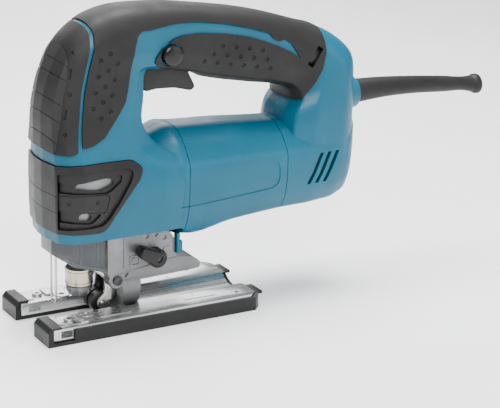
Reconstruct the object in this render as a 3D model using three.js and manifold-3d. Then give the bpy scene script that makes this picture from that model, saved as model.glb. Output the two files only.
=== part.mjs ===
// A corded D-handle jigsaw, modelled as the pieces it comes apart into on a bench.
// Millimetres, +Z up. The nose of the tool points along -X, its left side is -Y.
// While it is built, x is measured back from the front of the base; the finished
// group is moved so that its origin is the middle of the sole.

import * as THREE from 'three';
import { mergeVertices } from 'three/addons/utils/BufferGeometryUtils.js';
import Module from 'manifold-3d';

const wasm = await Module();
wasm.setup();

// ---- driving dimensions ----

const gap = 0.3; // between pieces that rest on each other

// base
const baseLength = 155;
const baseWidth = 77;
const baseTop = 11; // height of the casting's top face
const soleThickness = 2; // black cover plate under the casting
const coverWall = 1.8; // side walls of the cover plate
const forkGap = 30; // open slot at the front, between the prongs
const forkDepth = 60;
const tiltAxisZ = 22.5; // the base tilts about this line
const troughRadius = 18.5;

// body
const wall = 2.2; // of the plastic shells
const gripThickness = 1; // of the soft grips
const noseBottom = 62;
const frontSeam = 102; // between the shells and the motor housing
const rearSeam = 177;
const barrelHalfWidth = 33.5;
const handleHalfWidth = 19;
const handleTop = 206;

// mechanism
const strokeX = 38.5; // the plunger runs on this vertical line
const stroke = 26;
const rodRadius = 4.5;
const motorZ = 92;
const gearTeeth = 30;
const pinionTeeth = 6;
const gearModule = 1.36;
const crankPinRadius = 2.5;
const sleeveRadius = 9.25;
const rollerRadius = 7;
const armatureRadius = 17;
const leverReach = 13.2;

// ---- values that follow from them ----

const halfWidth = baseWidth / 2;
const halfGap = gap / 2;
const crankRadius = stroke / 2;
const crankZ = motorZ + (gearModule * (gearTeeth + pinionTeeth)) / 2;
const yokeZ = crankZ - crankRadius;
const footRadius = troughRadius - gap;
const statorRadius = barrelHalfWidth - 6.5; // the motor fills the barrel from side to side
const coilRadius = statorRadius - 2.5;
const fanRadius = barrelHalfWidth - 8;
const leverX = 84;
const leverZ = 42.5;
const pinX = 57.7; // retainer pin
const pinZ = 29.4;
const rollerX = strokeX + 5.5 + rollerRadius;
const rollerZ = 12;

// ---- materials ----

const material = (color, roughness, metalness = 0) =>
  new THREE.MeshStandardMaterial({ color, roughness, metalness });
const bluePlastic = material(0x14799a, 0.45);
const softGrip = material(0x2b2a2b, 0.8);
const blackPlastic = material(0x1f1f20, 0.55);
const castAluminium = material(0xa9abad, 0.5, 0.8);
const brightSteel = material(0xc2beb6, 0.3, 1);
const darkSteel = material(0x4a4a4c, 0.4, 0.9);
const copper = material(0xa85b2c, 0.4, 0.8);
const carbon = material(0x1a1a1a, 0.9);
const brass = material(0xb59a4c, 0.35, 0.9);
const smokedClear = new THREE.MeshStandardMaterial({
  color: 0x6a7076,
  roughness: 0.15,
  transparent: true,
  opacity: 0.4,
});
const lampLens = material(0xe8e8e0, 0.2);

// ---- solids ----

// A closed geometry as a solid, with its faces pointing out.
function solid(geometry) {
  const bare = geometry.index ? geometry.toNonIndexed() : geometry.clone();
  bare.deleteAttribute('normal');
  bare.deleteAttribute('uv');
  const merged = mergeVertices(bare, 1e-4);
  const triVerts = new Uint32Array(merged.index.array);
  const vertProperties = merged.attributes.position.array;
  const made = new wasm.Manifold(new wasm.Mesh({ numProp: 3, vertProperties, triVerts }));
  if (made.volume() > 0) return made;
  for (let i = 0; i < triVerts.length; i += 3) {
    [triVerts[i + 1], triVerts[i + 2]] = [triVerts[i + 2], triVerts[i + 1]];
  }
  return new wasm.Manifold(new wasm.Mesh({ numProp: 3, vertProperties, triVerts }));
}

function geometryOf(made) {
  const mesh = made.getMesh();
  const geometry = new THREE.BufferGeometry();
  geometry.setAttribute('position', new THREE.BufferAttribute(mesh.vertProperties, 3));
  geometry.setIndex(new THREE.BufferAttribute(mesh.triVerts, 1));
  return geometry;
}

const join = (first, ...rest) => rest.reduce((sum, other) => sum.add(other), first);
const cut = (first, ...rest) => rest.reduce((sum, other) => sum.subtract(other), first);

function box(x0, x1, y0, y1, z0, z1) {
  const geometry = new THREE.BoxGeometry(x1 - x0, y1 - y0, z1 - z0);
  return solid(geometry.translate((x0 + x1) / 2, (y0 + y1) / 2, (z0 + z1) / 2));
}

// Puts a shape drawn flat and grown along +Z onto another plane.
function standing(geometry, plane, from) {
  if (plane === 'xz') return geometry.rotateX(Math.PI / 2).translate(0, from, 0);
  if (plane === 'yz') {
    const turn = new THREE.Matrix4().makeBasis(
      new THREE.Vector3(0, 1, 0),
      new THREE.Vector3(0, 0, 1),
      new THREE.Vector3(1, 0, 0),
    );
    return geometry.applyMatrix4(turn).translate(from, 0, 0);
  }
  return geometry.translate(0, 0, from);
}

// A prism of a polygon, grown along the third axis from one coordinate to a larger one.
function prism(plane, points, from, to) {
  const shape = new THREE.Shape(points.map(([a, b]) => new THREE.Vector2(a, b)));
  const geometry = new THREE.ExtrudeGeometry(shape, { depth: to - from, bevelEnabled: false });
  return solid(standing(geometry, plane, plane === 'xz' ? to : from));
}

// A cylinder along an axis, from one coordinate to another on that axis.
function rod(axis, radius, from, to, a, b, sides = 16, endRadius = radius) {
  const geometry = new THREE.CylinderGeometry(endRadius, radius, to - from, sides);
  const middle = (from + to) / 2;
  if (axis === 'x') geometry.rotateZ(-Math.PI / 2).translate(middle, a, b);
  if (axis === 'y') geometry.translate(a, middle, b);
  if (axis === 'z') geometry.rotateX(Math.PI / 2).translate(a, b, middle);
  return solid(geometry);
}

// A tube: a lathed rectangle along an axis.
function ring(axis, outer, inner, from, to, a, b, sides = 20) {
  const profile = [
    [inner, 0],
    [outer, 0],
    [outer, to - from],
    [inner, to - from],
    [inner, 0],
  ].map(([r, h]) => new THREE.Vector2(r, h));
  const geometry = new THREE.LatheGeometry(profile, sides);
  if (axis === 'x') geometry.rotateZ(-Math.PI / 2).translate(from, a, b);
  if (axis === 'y') geometry.translate(a, from, b);
  if (axis === 'z') geometry.rotateX(Math.PI / 2).translate(a, b, from);
  return solid(geometry);
}

// A solid through a row of closed convex rings that all have the same number of points.
function loft(rings) {
  const count = rings[0].length;
  const positions = rings.flat().flatMap((p) => [p.x, p.y, p.z]);
  const index = [];
  for (let i = 0; i + 1 < rings.length; i += 1) {
    for (let j = 0; j < count; j += 1) {
      const k = (j + 1) % count;
      const a = i * count + j;
      const b = i * count + k;
      index.push(a, b, a + count, b, b + count, a + count);
    }
  }
  const last = (rings.length - 1) * count;
  for (let j = 1; j + 1 < count; j += 1) {
    index.push(0, j + 1, j);
    index.push(last, last + j, last + j + 1);
  }
  const geometry = new THREE.BufferGeometry();
  geometry.setAttribute('position', new THREE.Float32BufferAttribute(positions, 3));
  geometry.setIndex(index);
  return solid(geometry);
}

// ---- the outside shape of the body, which the shells and grips are cut from ----

// Half outlines: how far along from the outer to the inner edge, and the share of the half width.
const noseOutline = [
  [0, 0.2],
  [0.03, 0.74],
  [0.11, 0.93],
  [0.2, 1],
  [0.78, 0.97],
  [1, 0.9],
];
const gripOutline = [
  [0, 0.42],
  [0.07, 0.76],
  [0.24, 1],
  [0.68, 1],
  [0.92, 0.82],
  [1, 0.45],
];

// Stations of the D: outer x, z, inner x, z, half width, and how grip-like the outline is.
const handle = handleHalfWidth;
const dStations = [
  [12.5, noseBottom, 104, noseBottom, handle * 1.51, 0],
  [11.5, 84, 104, 84, handle * 1.52, 0],
  [11.5, 108, 100, 108, handle * 1.5, 0],
  [11.8, 120, 84, 120, handle * 1.37, 0.1],
  [12, 129, 77, 129, handle * 1.24, 0.2],
  [13.2, 151, 77.5, 151, handle * 1.11, 0.3],
  [17.5, 168, 79, 163, handle * 1.08, 0.5],
  [26, 186, 82, 166, handle * 1.06, 0.7],
  [40, 198.5, 88, 165.5, handle * 1.05, 0.85],
  [57, handleTop - 1, 97, 164, handle * 1.03, 1],
  [89, handleTop, 109, 161.5, handle, 1],
  [124, handleTop - 4, 128, 156.5, handle * 0.98, 1],
  [163, handleTop - 11, 156, 151, handle * 0.99, 1],
  [196, handleTop - 20.5, 176, 147.5, handle * 1.05, 1],
  [221, handleTop - 29, 187.5, 143, handle * 1.16, 1],
  [235, 164, 189, 136, handle * 1.32, 1],
  [236.5, 141, 184, 128.5, handle * 1.45, 1],
  [236.5, 116, 181, 114, handle * 1.5, 1],
];

function outline(share) {
  return noseOutline.map(([t, f], i) => [
    t + (gripOutline[i][0] - t) * share,
    f + (gripOutline[i][1] - f) * share,
  ]);
}

// The D-shaped part: nose, front column, handle and rear pillar, grown by some amount all round.
function dShape(grow, noseDrop = 0) {
  return loft(
    dStations.map(([ox, oz, ix, iz, half, share], i) => {
      const outer = new THREE.Vector2(ox, oz - (i === 0 ? noseDrop : 0));
      const inner = new THREE.Vector2(ix, iz - (i === 0 ? noseDrop : 0));
      const along = inner.clone().sub(outer).normalize();
      outer.addScaledVector(along, -grow);
      inner.addScaledVector(along, grow);
      const side = outline(share).map(([t, f]) => {
        const p = outer.clone().lerp(inner, t);
        return new THREE.Vector3(p.x, f * (half + grow), p.y);
      });
      const other = side.map((p) => new THREE.Vector3(p.x, -p.y, p.z)).reverse();
      return [...side, ...other];
    }),
  );
}

// Stations of the barrel: x, half width, bottom, top.
const barrelStations = [
  [80, barrelHalfWidth - 7.5, noseBottom, motorZ + 28],
  [89, barrelHalfWidth - 3.5, noseBottom - 2, motorZ + 32.5],
  [98, barrelHalfWidth, noseBottom - 7, motorZ + 35],
  [frontSeam, barrelHalfWidth, noseBottom - 8.5, motorZ + 34.5],
  [140, barrelHalfWidth - 0.7, noseBottom - 4.5, motorZ + 32.5],
  [rearSeam, barrelHalfWidth - 3, noseBottom - 2, motorZ + 30],
  [206, barrelHalfWidth - 4, noseBottom - 1, motorZ + 30],
  [222, barrelHalfWidth - 6, noseBottom + 1.5, motorZ + 32],
  [231, barrelHalfWidth - 10, noseBottom + 7, motorZ + 34],
  [236.5, barrelHalfWidth - 17, noseBottom + 17, motorZ + 36],
];

function barrel(grow) {
  return loft(
    barrelStations.map(([x, half, low, high], i) => {
      const w = half + grow;
      const bottom = low - grow;
      const tall = high - low + 2 * grow;
      const ends = { 0: -grow, [barrelStations.length - 1]: grow };
      const side = [
        [0.35, 0],
        [0.74, 0.06],
        [0.93, 0.24],
        [1, 0.42],
        [1, 0.71],
        [0.7, 0.89],
        [0.33, 1],
      ].map(([f, t]) => new THREE.Vector3(x + (ends[i] ?? 0), f * w, bottom + t * tall));
      const other = side.map((p) => new THREE.Vector3(p.x, -p.y, p.z)).reverse();
      return [...side, ...other];
    }),
  );
}

const bodyShape = (grow, noseDrop = 0) => join(dShape(grow, noseDrop), barrel(grow));
const outside = bodyShape(0);
const inside = bodyShape(-wall, 6);
const gripOuter = bodyShape(gap + gripThickness);
const gripInner = bodyShape(gap);

// ---- assembly ----

const assembly = new THREE.Group();
assembly.position.x = -baseLength / 2;

function piece(name, made, look) {
  const mesh = new THREE.Mesh(geometryOf(made), look);
  mesh.name = name;
  assembly.add(mesh);
}

// ---- shells ----

// The window in the nose that the black frame fills, seen from the side.
const noseWindow = [
  [0, 69],
  [42, 67.5],
  [46, 70],
  [68, 101],
  [70, 108],
  [63, 113.5],
  [0, 113.5],
];
const shrunkWindow = noseWindow.map(([x, z]) => [
  x - (x > 45 ? gap : 0),
  z + (z < 71 ? gap : -gap),
]);

// Slots for the cooling air at the rear, and the ones in the black frame.
const ventLean = 9.5;
function vent(x) {
  return prism(
    'xz',
    [
      [x, 79.5],
      [x + 3, 79.5],
      [x + 3 + ventLean, 100.5],
      [x + ventLean, 100.5],
    ],
    -60,
    60,
  );
}
const vents = join(vent(193), vent(199.4), vent(205.8));

// Screws that hold the two shells together: x, z.
const screwSpots = [
  [72, 183],
  [180, 171],
  [218, 152],
  [226, 96],
];
const bosses = join(...screwSpots.map(([x, z]) => rod('y', 4.6, -40, 40, x, z, 8)));
const screwHoles = join(...screwSpots.map(([x, z]) => rod('y', 2.3, -13, 60, x, z, 8)));
const headPockets = join(...screwSpots.map(([x, z]) => rod('y', 4, 15, 60, x, z, 10)));

const motorGap = box(frontSeam, rearSeam, -60, 60, 30, 136);
const triggerSlot = box(79.4, 119, -10, 10, 140, 171);
const buttonHole = rod('y', 7.1, -40, 0, 95, 176, 20);
const dialHole = box(-3, 3, -30, 0, -9, 9)
  .rotate([0, 33.8, 0])
  .translate([200.8, 0, 165]);
const guardHole = rod('x', 9.2, 200, 260, 0, 131.5, 20);
const guardBoss = rod('x', 13.2, 232, 246, 0, 131.5, 20, 10.4);
const windowHole = prism('xz', noseWindow, -60, 60);
const plateRoom = prism(
  'xz',
  [
    [50, 40],
    [50, 64],
    [89, 62.2],
    [96.6, 58.6],
    [99.7, 52],
    [99.7, 40],
  ],
  -18.3,
  18.3,
);
const lugs = join(
  box(99.9, 101.9, -20, -15, 42, 60),
  box(99.9, 104, -20, -15, 42, 50),
  box(99.9, 101.9, 15, 20, 42, 60),
  box(99.9, 104, 15, 20, 42, 50),
);

const hollow = cut(inside, intersectAll(bosses, outside));
const closedShell = cut(
  join(outside, guardBoss, lugs),
  hollow,
  motorGap.subtract(lugs),
  triggerSlot,
  dialHole,
  buttonHole,
  guardHole,
  windowHole,
  plateRoom,
  vents,
  screwHoles,
  headPockets,
);

function intersectAll(first, ...rest) {
  return rest.reduce((sum, other) => sum.intersect(other), first);
}

const biggest = (made) => made.decompose().reduce((a, b) => (a.volume() > b.volume() ? a : b));
const leftHalf = box(-50, 400, -80, -halfGap, -20, 260);
const rightHalf = box(-50, 400, halfGap, 80, -20, 260);
piece('left_shell', biggest(closedShell.intersect(leftHalf)), bluePlastic);
piece('right_shell', biggest(closedShell.intersect(rightHalf)), bluePlastic);

const motorZone = box(frontSeam + gap, rearSeam - gap, -60, 60, 30, 136);
piece('motor_housing', cut(barrel(0), barrel(-wall - 0.6)).intersect(motorZone), bluePlastic);

// ---- soft grips ----

const gripSkin = cut(gripOuter, gripInner);
const frontGripRegion = [
  [0, 114.5],
  [21, 116],
  [23.5, 123],
  [33, 178],
  [38.5, 196.5],
  [74, 196],
  [90, 193.5],
  [125, 196],
  [166, 188],
  [190, 182.5],
  [206, 184.5],
  [212, 200],
  [125, 220],
  [0, 220],
];
piece(
  'front_grip',
  biggest(gripSkin.intersect(prism('xz', frontGripRegion, -60, 60))),
  softGrip,
);

const panelRegion = [
  [29, 125],
  [46, 129.5],
  [60.5, 147],
  [67.5, 178],
  [67, 190],
  [42, 192],
  [36.5, 176],
];
const palmRegion = [
  [84, 174],
  [91, 166],
  [112, 161],
  [124, 158.5],
  [150, 154.5],
  [174, 150],
  [180, 134],
  [193, 140],
  [205, 156],
  [209, 172],
  [204, 181],
  [190, 179],
  [184, 176],
  [150, 184],
  [122, 188.5],
  [100, 186],
];
const buttonRing = rod('y', 8, -60, 60, 95, 176, 20);
const dialRing = box(-4, 4, -30, 0, -10, 10)
  .rotate([0, 33.8, 0])
  .translate([200.8, 0, 165]);
const sides = [
  ['left', -60, -6],
  ['right', 6, 60],
];
for (const [name, from, to] of sides) {
  const panel = gripSkin.intersect(prism('xz', panelRegion, from, to));
  piece(`side_grip_${name}`, biggest(cut(panel, headPockets)), softGrip);
  const palm = gripSkin.intersect(prism('xz', palmRegion, from, to));
  piece(`palm_grip_${name}`, biggest(cut(palm, headPockets, buttonRing, dialRing)), softGrip);
}

// ---- nose: frame, tool opener, dust cover ----

const frameSkin = cut(bodyShape(0.8), bodyShape(-wall));
const upperSlot = prism(
  'xz',
  [
    [-5, 92.5],
    [55.6, 95.5],
    [57.7, 103],
    [-5, 99],
  ],
  -60,
  60,
);
const lowerSlot = prism(
  'xz',
  [
    [-5, 74.5],
    [37.7, 73],
    [44, 79],
    [-5, 82],
  ],
  -60,
  60,
);
const openerBand = prism(
  'xz',
  [
    [-5, 81],
    [49, 79],
    [55, 96],
    [-5, 93.5],
  ],
  -60,
  21,
);
// The band's place in the frame, with room to swing.
const openerRoom = prism(
  'xz',
  [
    [-5, 80.6],
    [50, 78.3],
    [56.4, 96.5],
    [-5, 94],
  ],
  -60,
  24.2,
);
const frameSlots = join(upperSlot, lowerSlot, openerRoom);
piece(
  'nose_frame',
  biggest(cut(frameSkin.intersect(prism('xz', shrunkWindow, -60, 60)), frameSlots)),
  blackPlastic,
);
piece(
  'tool_opener',
  biggest(cut(frameSkin.intersect(openerBand), upperSlot, lowerSlot)),
  blackPlastic,
);

// A U in plan that slides down round the blade, its lower edge slanting back.
const coverPlan = (inset) => [
  [50.5, -16.5 + inset],
  [21, -16.5 + inset],
  [15.6 + inset, -8.5 + inset / 2],
  [15.6 + inset, 8.5 - inset / 2],
  [21, 16.5 - inset],
  [50.5, 16.5 - inset],
];
const coverSide = [
  [0, 72],
  [0, 54],
  [14.5, 51.5],
  [30, 42],
  [48.5, 36],
  [60, 36],
  [60, 72],
];
const coverInner = [[80, -14.9], ...coverPlan(1.6).slice(1, 5), [80, 14.9]];
piece(
  'dust_cover',
  cut(prism('xy', coverPlan(0), 30, 72), prism('xy', coverInner, 20, 80)).intersect(
    prism('xz', coverSide, -40, 40),
  ),
  smokedClear,
);

// ---- gear housing ----

const housingOuter = bodyShape(-wall - 2.8, 0);
const housingInner = bodyShape(-wall - 5.4, 6);
const housingWalls = cut(
  cut(housingOuter, housingInner).intersect(box(0, 71.5, -60, 60, 63.5, 114)),
  box(0, 51.7, -17.2, 17.2, 50, 73),
  box(57.5, 80, -60, 60, 95, 140),
);
const housingFloor = join(
  prism(
    'xy',
    [
      [17.9, -7],
      [17.9, 7],
      [23.5, 13.8],
      [52, 13.8],
      [52, -13.8],
      [23.5, -13.8],
    ],
    63.5,
    67,
  ),
  prism('xy', [[51.5, -25], [51.5, 25], [71.5, 24], [71.5, -24]], 63.5, 67).intersect(housingOuter),
);
const sidePlate = prism(
  'xz',
  [
    [pinX - 3, 26.9],
    [50.8, 34],
    [50.8, 66],
    [71, 66],
    [71, 61.5],
    [88, 61.5],
    [96, 58],
    [99.4, 51.5],
    [99.4, 41],
    [104, 38.5],
    [118, 34.5],
    [119, 29.5],
    [113, 28.5],
  ],
  -18,
  18,
);
const foot = rod('x', footRadius, forkDepth + 1, forkDepth + 15, 0, tiltAxisZ, 40);
const retainerRoom = box(40, 64.4, -9.5, 9.5, 15, 41);
const pinEars = rod('y', 6, -18, 18, pinX, pinZ, 20);
const housing = cut(
  join(housingWalls, housingFloor, sidePlate, pinEars, foot),
  retainerRoom,
  box(40, 51.7, -16.9, 16.9, 20, 60),
  rod('z', 7, 50, 80, strokeX, 0, 20),
  rod('y', 2.6, -40, 40, pinX, pinZ, 12),
  rod('z', 2.9, 0, 17, forkDepth + 8, 0, 12),
  rod('y', 3.4, -40, -12, leverX, leverZ, 16),
  box(66, 97, -13, 13, 32, 57.5),
  rod('z', 1.6, 50, 80, 20.5, -3.7, 8),
  rod('z', 1.6, 50, 80, 20.5, 3.7, 8),
);
piece('gear_housing', biggest(housing), castAluminium);

piece(
  'bearing_plate',
  cut(
    bodyShape(-wall - 0.8).intersect(box(72.2, 76.8, -24, 24, 64, 119)),
    rod('x', 11.3, 60, 90, 0, motorZ, 24),
    rod('x', 5.3, 60, 90, 0, crankZ, 16),
    box(60, 90, -30, 30, crankZ + 9, 140),
  ),
  castAluminium,
);
piece('front_bearing', ring('x', 11, 4.3, 72, 79, 0, motorZ), brightSteel);
piece('rear_bearing', ring('x', 11, 4.3, 183, 190, 0, motorZ), brightSteel);

piece('retainer_pin', join(
  rod('y', 2.3, -19, 17.5, pinX, pinZ, 12),
  rod('y', 3.4, -19.6, -18.3, pinX, pinZ, 12),
), darkSteel);
piece('lever_pin', rod('y', 2.4, -24.5, -12.5, leverX, leverZ, 12), darkSteel);
piece('base_clamp_bolt', join(
  rod('z', 2.6, 3, 15, forkDepth + 8, 0, 12),
  rod('z', 3.4, 1, 3.2, forkDepth + 8, 0, 6),
), darkSteel);

// ---- plunger, clamp, yoke ----

const yokeHalf = crankRadius + crankPinRadius + gap;
const yoke = cut(
  box(44.5, 51.5, -yokeHalf - 2.2, yokeHalf + 2.2, yokeZ - 5.5, yokeZ + 5.5),
  box(40, 60, -yokeHalf, yokeHalf, yokeZ - crankPinRadius - 0.2, yokeZ + crankPinRadius + 0.2),
);
piece('plunger', join(
  rod('z', rodRadius, 41.4, 146, strokeX, 0),
  box(strokeX, 45, -4, 4, yokeZ - 5.5, yokeZ + 5.5),
  yoke,
), brightSteel);
piece('lower_bush', ring('z', 7.6, rodRadius + gap, 70.5, 80, strokeX, 0), brass);
piece('upper_bush', ring('z', 7.6, rodRadius + gap, 135.6, 143.6, strokeX, 0), brass);
piece('bush_bracket', cut(
  bodyShape(-wall - 0.8).intersect(box(20, 59, -24, 24, 137.5, 141.5)),
  rod('z', 7.9, 120, 160, strokeX, 0, 20),
), castAluminium);

piece('blade_clamp', cut(
  join(
    rod('z', 6.2, 24.6, 41, strokeX, 0),
    rod('z', 7.2, 17.5, 24.7, strokeX, 0, 24, 8.6),
  ),
  box(strokeX - 7, strokeX + 3.5, -0.9, 0.9, 15, 34),
), darkSteel);
piece('clamp_sleeve', ring('z', sleeveRadius, 6.5, 25, 37, strokeX, 0, 28), brightSteel);

// ---- crank gear and pinion ----

function gearOutline(teeth, turn) {
  const pitch = (gearModule * teeth) / 2;
  const tip = pitch + gearModule * 0.8;
  const root = pitch - gearModule;
  const step = (2 * Math.PI) / teeth;
  const points = [];
  for (let i = 0; i < teeth; i += 1) {
    for (const [radius, share] of [[root, -0.36], [tip, -0.12], [tip, 0.12], [root, 0.36]]) {
      const angle = turn + (i + share) * step;
      points.push([radius * Math.cos(angle), radius * Math.sin(angle)]);
    }
  }
  return points;
}
const toothOnDown = (teeth, z) =>
  gearOutline(teeth, -Math.PI / 2).map(([y, up]) => [y, up + z]);
const gapOnUp = (teeth, z) =>
  gearOutline(teeth, Math.PI / 2 + Math.PI / teeth).map(([y, up]) => [y, up + z]);

piece('crank_gear', cut(
  join(
    prism('yz', toothOnDown(gearTeeth, crankZ), 62, 69),
    rod('x', crankPinRadius, 51.9, 63, 0, yokeZ, 12),
  ),
  rod('x', 4.3, 60.5, 80, 0, crankZ),
), darkSteel);
piece('gear_shaft', join(
  rod('x', 4, 62, 76.8, 0, crankZ),
  rod('x', 5, 70, 76.8, 0, crankZ),
), brightSteel);

// ---- motor ----

piece('armature_shaft', join(
  prism('yz', gapOnUp(pinionTeeth, motorZ), 61, 70.5),
  rod('x', 4, 70, 192, 0, motorZ),
), brightSteel);
piece('armature_core', ring('x', armatureRadius, 4.3, 118, 156, 0, motorZ, 24), darkSteel);
piece('commutator', ring('x', 10, 4.3, 162, 174, 0, motorZ, 24), copper);

const blades = Array.from({ length: 8 }, (_, i) =>
  box(105.4, 110.5, -0.7, 0.7, 9, fanRadius - 0.5).rotate([i * 45, 0, 0]).translate([0, 0, motorZ]),
);
piece('fan', cut(
  join(
    rod('x', fanRadius, 104, 105.6, 0, motorZ, 32),
    rod('x', 9.5, 104, 111, 0, motorZ, 16),
    ...blades,
  ),
  rod('x', 4.3, 100, 115, 0, motorZ),
), blackPlastic);

// Each field coil is a saddle round one pole of the laminated stator.
const coilBlank = ring('x', coilRadius, armatureRadius + 1.2, 112.5, 161, 0, motorZ, 32);
function coilShape(up, grow) {
  const reach = up * 40;
  const sector = prism(
    'yz',
    [
      [0, motorZ + up * (3 - grow)],
      [40, motorZ + up * (3 - grow)],
      [40, motorZ + reach],
      [-40, motorZ + reach],
      [-40, motorZ + up * (3 - grow)],
    ],
    100,
    175,
  );
  const pole = box(118 + grow - 0.3, 156.3 - grow, -10.5 + grow, 10.5 - grow, 0, 200);
  const grown = grow === 0 ? coilBlank : ring('x', coilRadius + grow, 14, 110, 165, 0, motorZ, 32);
  return cut(grown.intersect(sector), pole);
}
piece('field_coil_upper', coilShape(1, 0), copper);
piece('field_coil_lower', coilShape(-1, 0), copper);
piece('stator_core', cut(
  ring('x', statorRadius, armatureRadius + 0.9, 118.4, 155.9, 0, motorZ, 32),
  coilShape(1, gap),
  coilShape(-1, gap),
), darkSteel);

for (const [name, way] of [['left', -1], ['right', 1]]) {
  const span = (near, far) => (way < 0 ? [-far, -near] : [near, far]);
  const [b0, b1] = span(10.3, barrelHalfWidth - 11.5);
  const [h0, h1] = span(12, barrelHalfWidth - 8.5);
  piece(`brush_${name}`, box(164.5, 171.5, b0, b1, motorZ - 3, motorZ + 3), carbon);
  piece(`brush_holder_${name}`, cut(
    box(162.7, 173.3, h0, h1, motorZ - 4.8, motorZ + 4.8),
    box(164.2, 171.8, h0 - 5, h1 + 5, motorZ - 3.3, motorZ + 3.3),
  ), brass);
}

// ---- trigger, switch and controls ----

piece('trigger', prism(
  'xz',
  [
    [80, 169.5],
    [79.9, 153],
    [82.5, 150.5],
    [90, 151.6],
    [103, 151],
    [115.5, 147.8],
    [118.4, 150.5],
    [113.5, 160],
    [112, 166.5],
    [100, 169.5],
  ],
  -9,
  9,
), blackPlastic);
piece('switch_body', box(86, 118, -9.5, 9.5, 173.5, 192), blackPlastic);
piece('lock_button', join(
  rod('y', 6.8, -24, -15, 95, 176, 20),
  rod('y', 2.4, -15.5, -14, 95, 176, 12),
), blackPlastic);
piece('speed_dial', solid(
  new THREE.CylinderGeometry(10, 10, 4.4, 20)
    .rotateZ(Math.PI / 2)
    .rotateY((33.8 * Math.PI) / 180)
    .translate(200.8, -11.5, 165),
), blackPlastic);
piece('speed_controller', box(138, 166, -10, 10, 160, 180), blackPlastic);

// ---- screws ----

screwSpots.forEach(([x, z], i) => {
  piece(`shell_screw_${i + 1}`, join(
    rod('y', 1.9, -12, 16, x, z, 8),
    rod('y', 3.6, 15.3, 18, x, z, 8),
  ), darkSteel);
});

// ---- orbital lever ----

const leverTip = new THREE.Vector2(-Math.cos(0.48), Math.sin(0.48)).multiplyScalar(leverReach);
const leverSide = new THREE.Vector2(leverTip.y, -leverTip.x).normalize();
const leverPoint = (along, across) => [
  leverX + leverTip.x * along + leverSide.x * across,
  leverZ + leverTip.y * along + leverSide.y * across,
];
piece('orbital_lever', cut(
  join(
    rod('y', 6.3, -25.5, -18.4, leverX, leverZ, 20),
    prism('xz', [
      leverPoint(0, 5.2),
      leverPoint(0, -5.2),
      leverPoint(1.22, -3.6),
      leverPoint(1.22, 3.6),
    ], -29.5, -20),
  ),
  rod('y', 2.7, -40, -10, leverX, leverZ, 12),
), blackPlastic);

// ---- roller and its retainer ----

const armSide = [
  [53, 32.5],
  [61, 33],
  [62.2, 27],
  [60.8, 18],
  [56.5, 9.5],
  [51, 7.5],
  [47.6, 9.5],
  [47.6, 14.5],
  [52.6, 19],
  [53.2, 26],
];
piece('roller_retainer', cut(
  join(
    prism('xz', armSide, -9.2, -7),
    prism('xz', armSide, 7, 9.2),
    rod('y', 4.4, -8, 8, pinX, pinZ, 16),
  ),
  rod('y', 2.6, -20, 20, pinX, pinZ, 12),
  rod('y', 2.1, -20, 20, rollerX, rollerZ, 12),
), darkSteel);
const rollerProfile = [
  [2.3, -6.4],
  [rollerRadius, -6.4],
  [rollerRadius, -1.4],
  [rollerRadius - 2.2, -1.2],
  [rollerRadius - 2.2, 1.2],
  [rollerRadius, 1.4],
  [rollerRadius, 6.4],
  [2.3, 6.4],
  [2.3, -6.4],
].map(([r, h]) => new THREE.Vector2(r, h));
piece('guide_roller', solid(
  new THREE.LatheGeometry(rollerProfile, 20).translate(rollerX, 0, rollerZ),
), darkSteel);
piece('roller_axle', rod('y', 1.8, -10, 10, rollerX, rollerZ, 12), brightSteel);

// ---- wire guard and lamp ----

const wirePath = new THREE.CatmullRomCurve3(
  [
    [-3.7, 66.5],
    [-3.7, 45],
    [-3.7, 19],
    [-2.6, 15.4],
    [0, 14.4],
    [2.6, 15.4],
    [3.7, 19],
    [3.7, 45],
    [3.7, 66.5],
  ].map(([y, z]) => new THREE.Vector3(20.5, y, z)),
);
const wireSection = new THREE.Shape();
wireSection.absarc(0, 0, 0.8, 0, 2 * Math.PI, false);
piece('wire_guard', solid(
  new THREE.ExtrudeGeometry(wireSection, { steps: 16, curveSegments: 3, extrudePath: wirePath }),
), brightSteel);
piece('led_lamp', rod('z', 2.4, 59.5, 63.2, 27, -9, 12), lampLens);

// ---- base ----

const halfFork = forkGap / 2;
const plan = (front, back, half, corner) => [
  [front, -half],
  [back - corner, -half],
  [back, -half + corner],
  [back, half - corner],
  [back - corner, half],
  [front, half],
  [front, halfFork],
  [forkDepth, halfFork],
  [forkDepth, -halfFork],
  [front, -halfFork],
];
const boltSlot = box(forkDepth + 3.8, forkDepth + 12.2, -17.9, 17.9, -5, 20);
const trough = rod('x', troughRadius, -20, baseLength + 20, 0, tiltAxisZ, 40);
const fenceSlots = box(9.5, 17.5, -60, 60, soleThickness + 2.2, soleThickness + 7);
piece('base_plate', cut(
  prism('xy', plan(4, baseLength - 2.2, halfWidth - coverWall - gap, 5), soleThickness + gap, baseTop),
  trough,
  boltSlot,
  fenceSlots,
  rod('z', 1.6, 0, 30, 22, -30, 8),
  rod('z', 1.6, 0, 30, 22, 30, 8),
  rod('z', 1.6, 0, 30, baseLength - 14, -28, 8),
  rod('z', 1.6, 0, 30, baseLength - 14, 28, 8),
), castAluminium);

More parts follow.
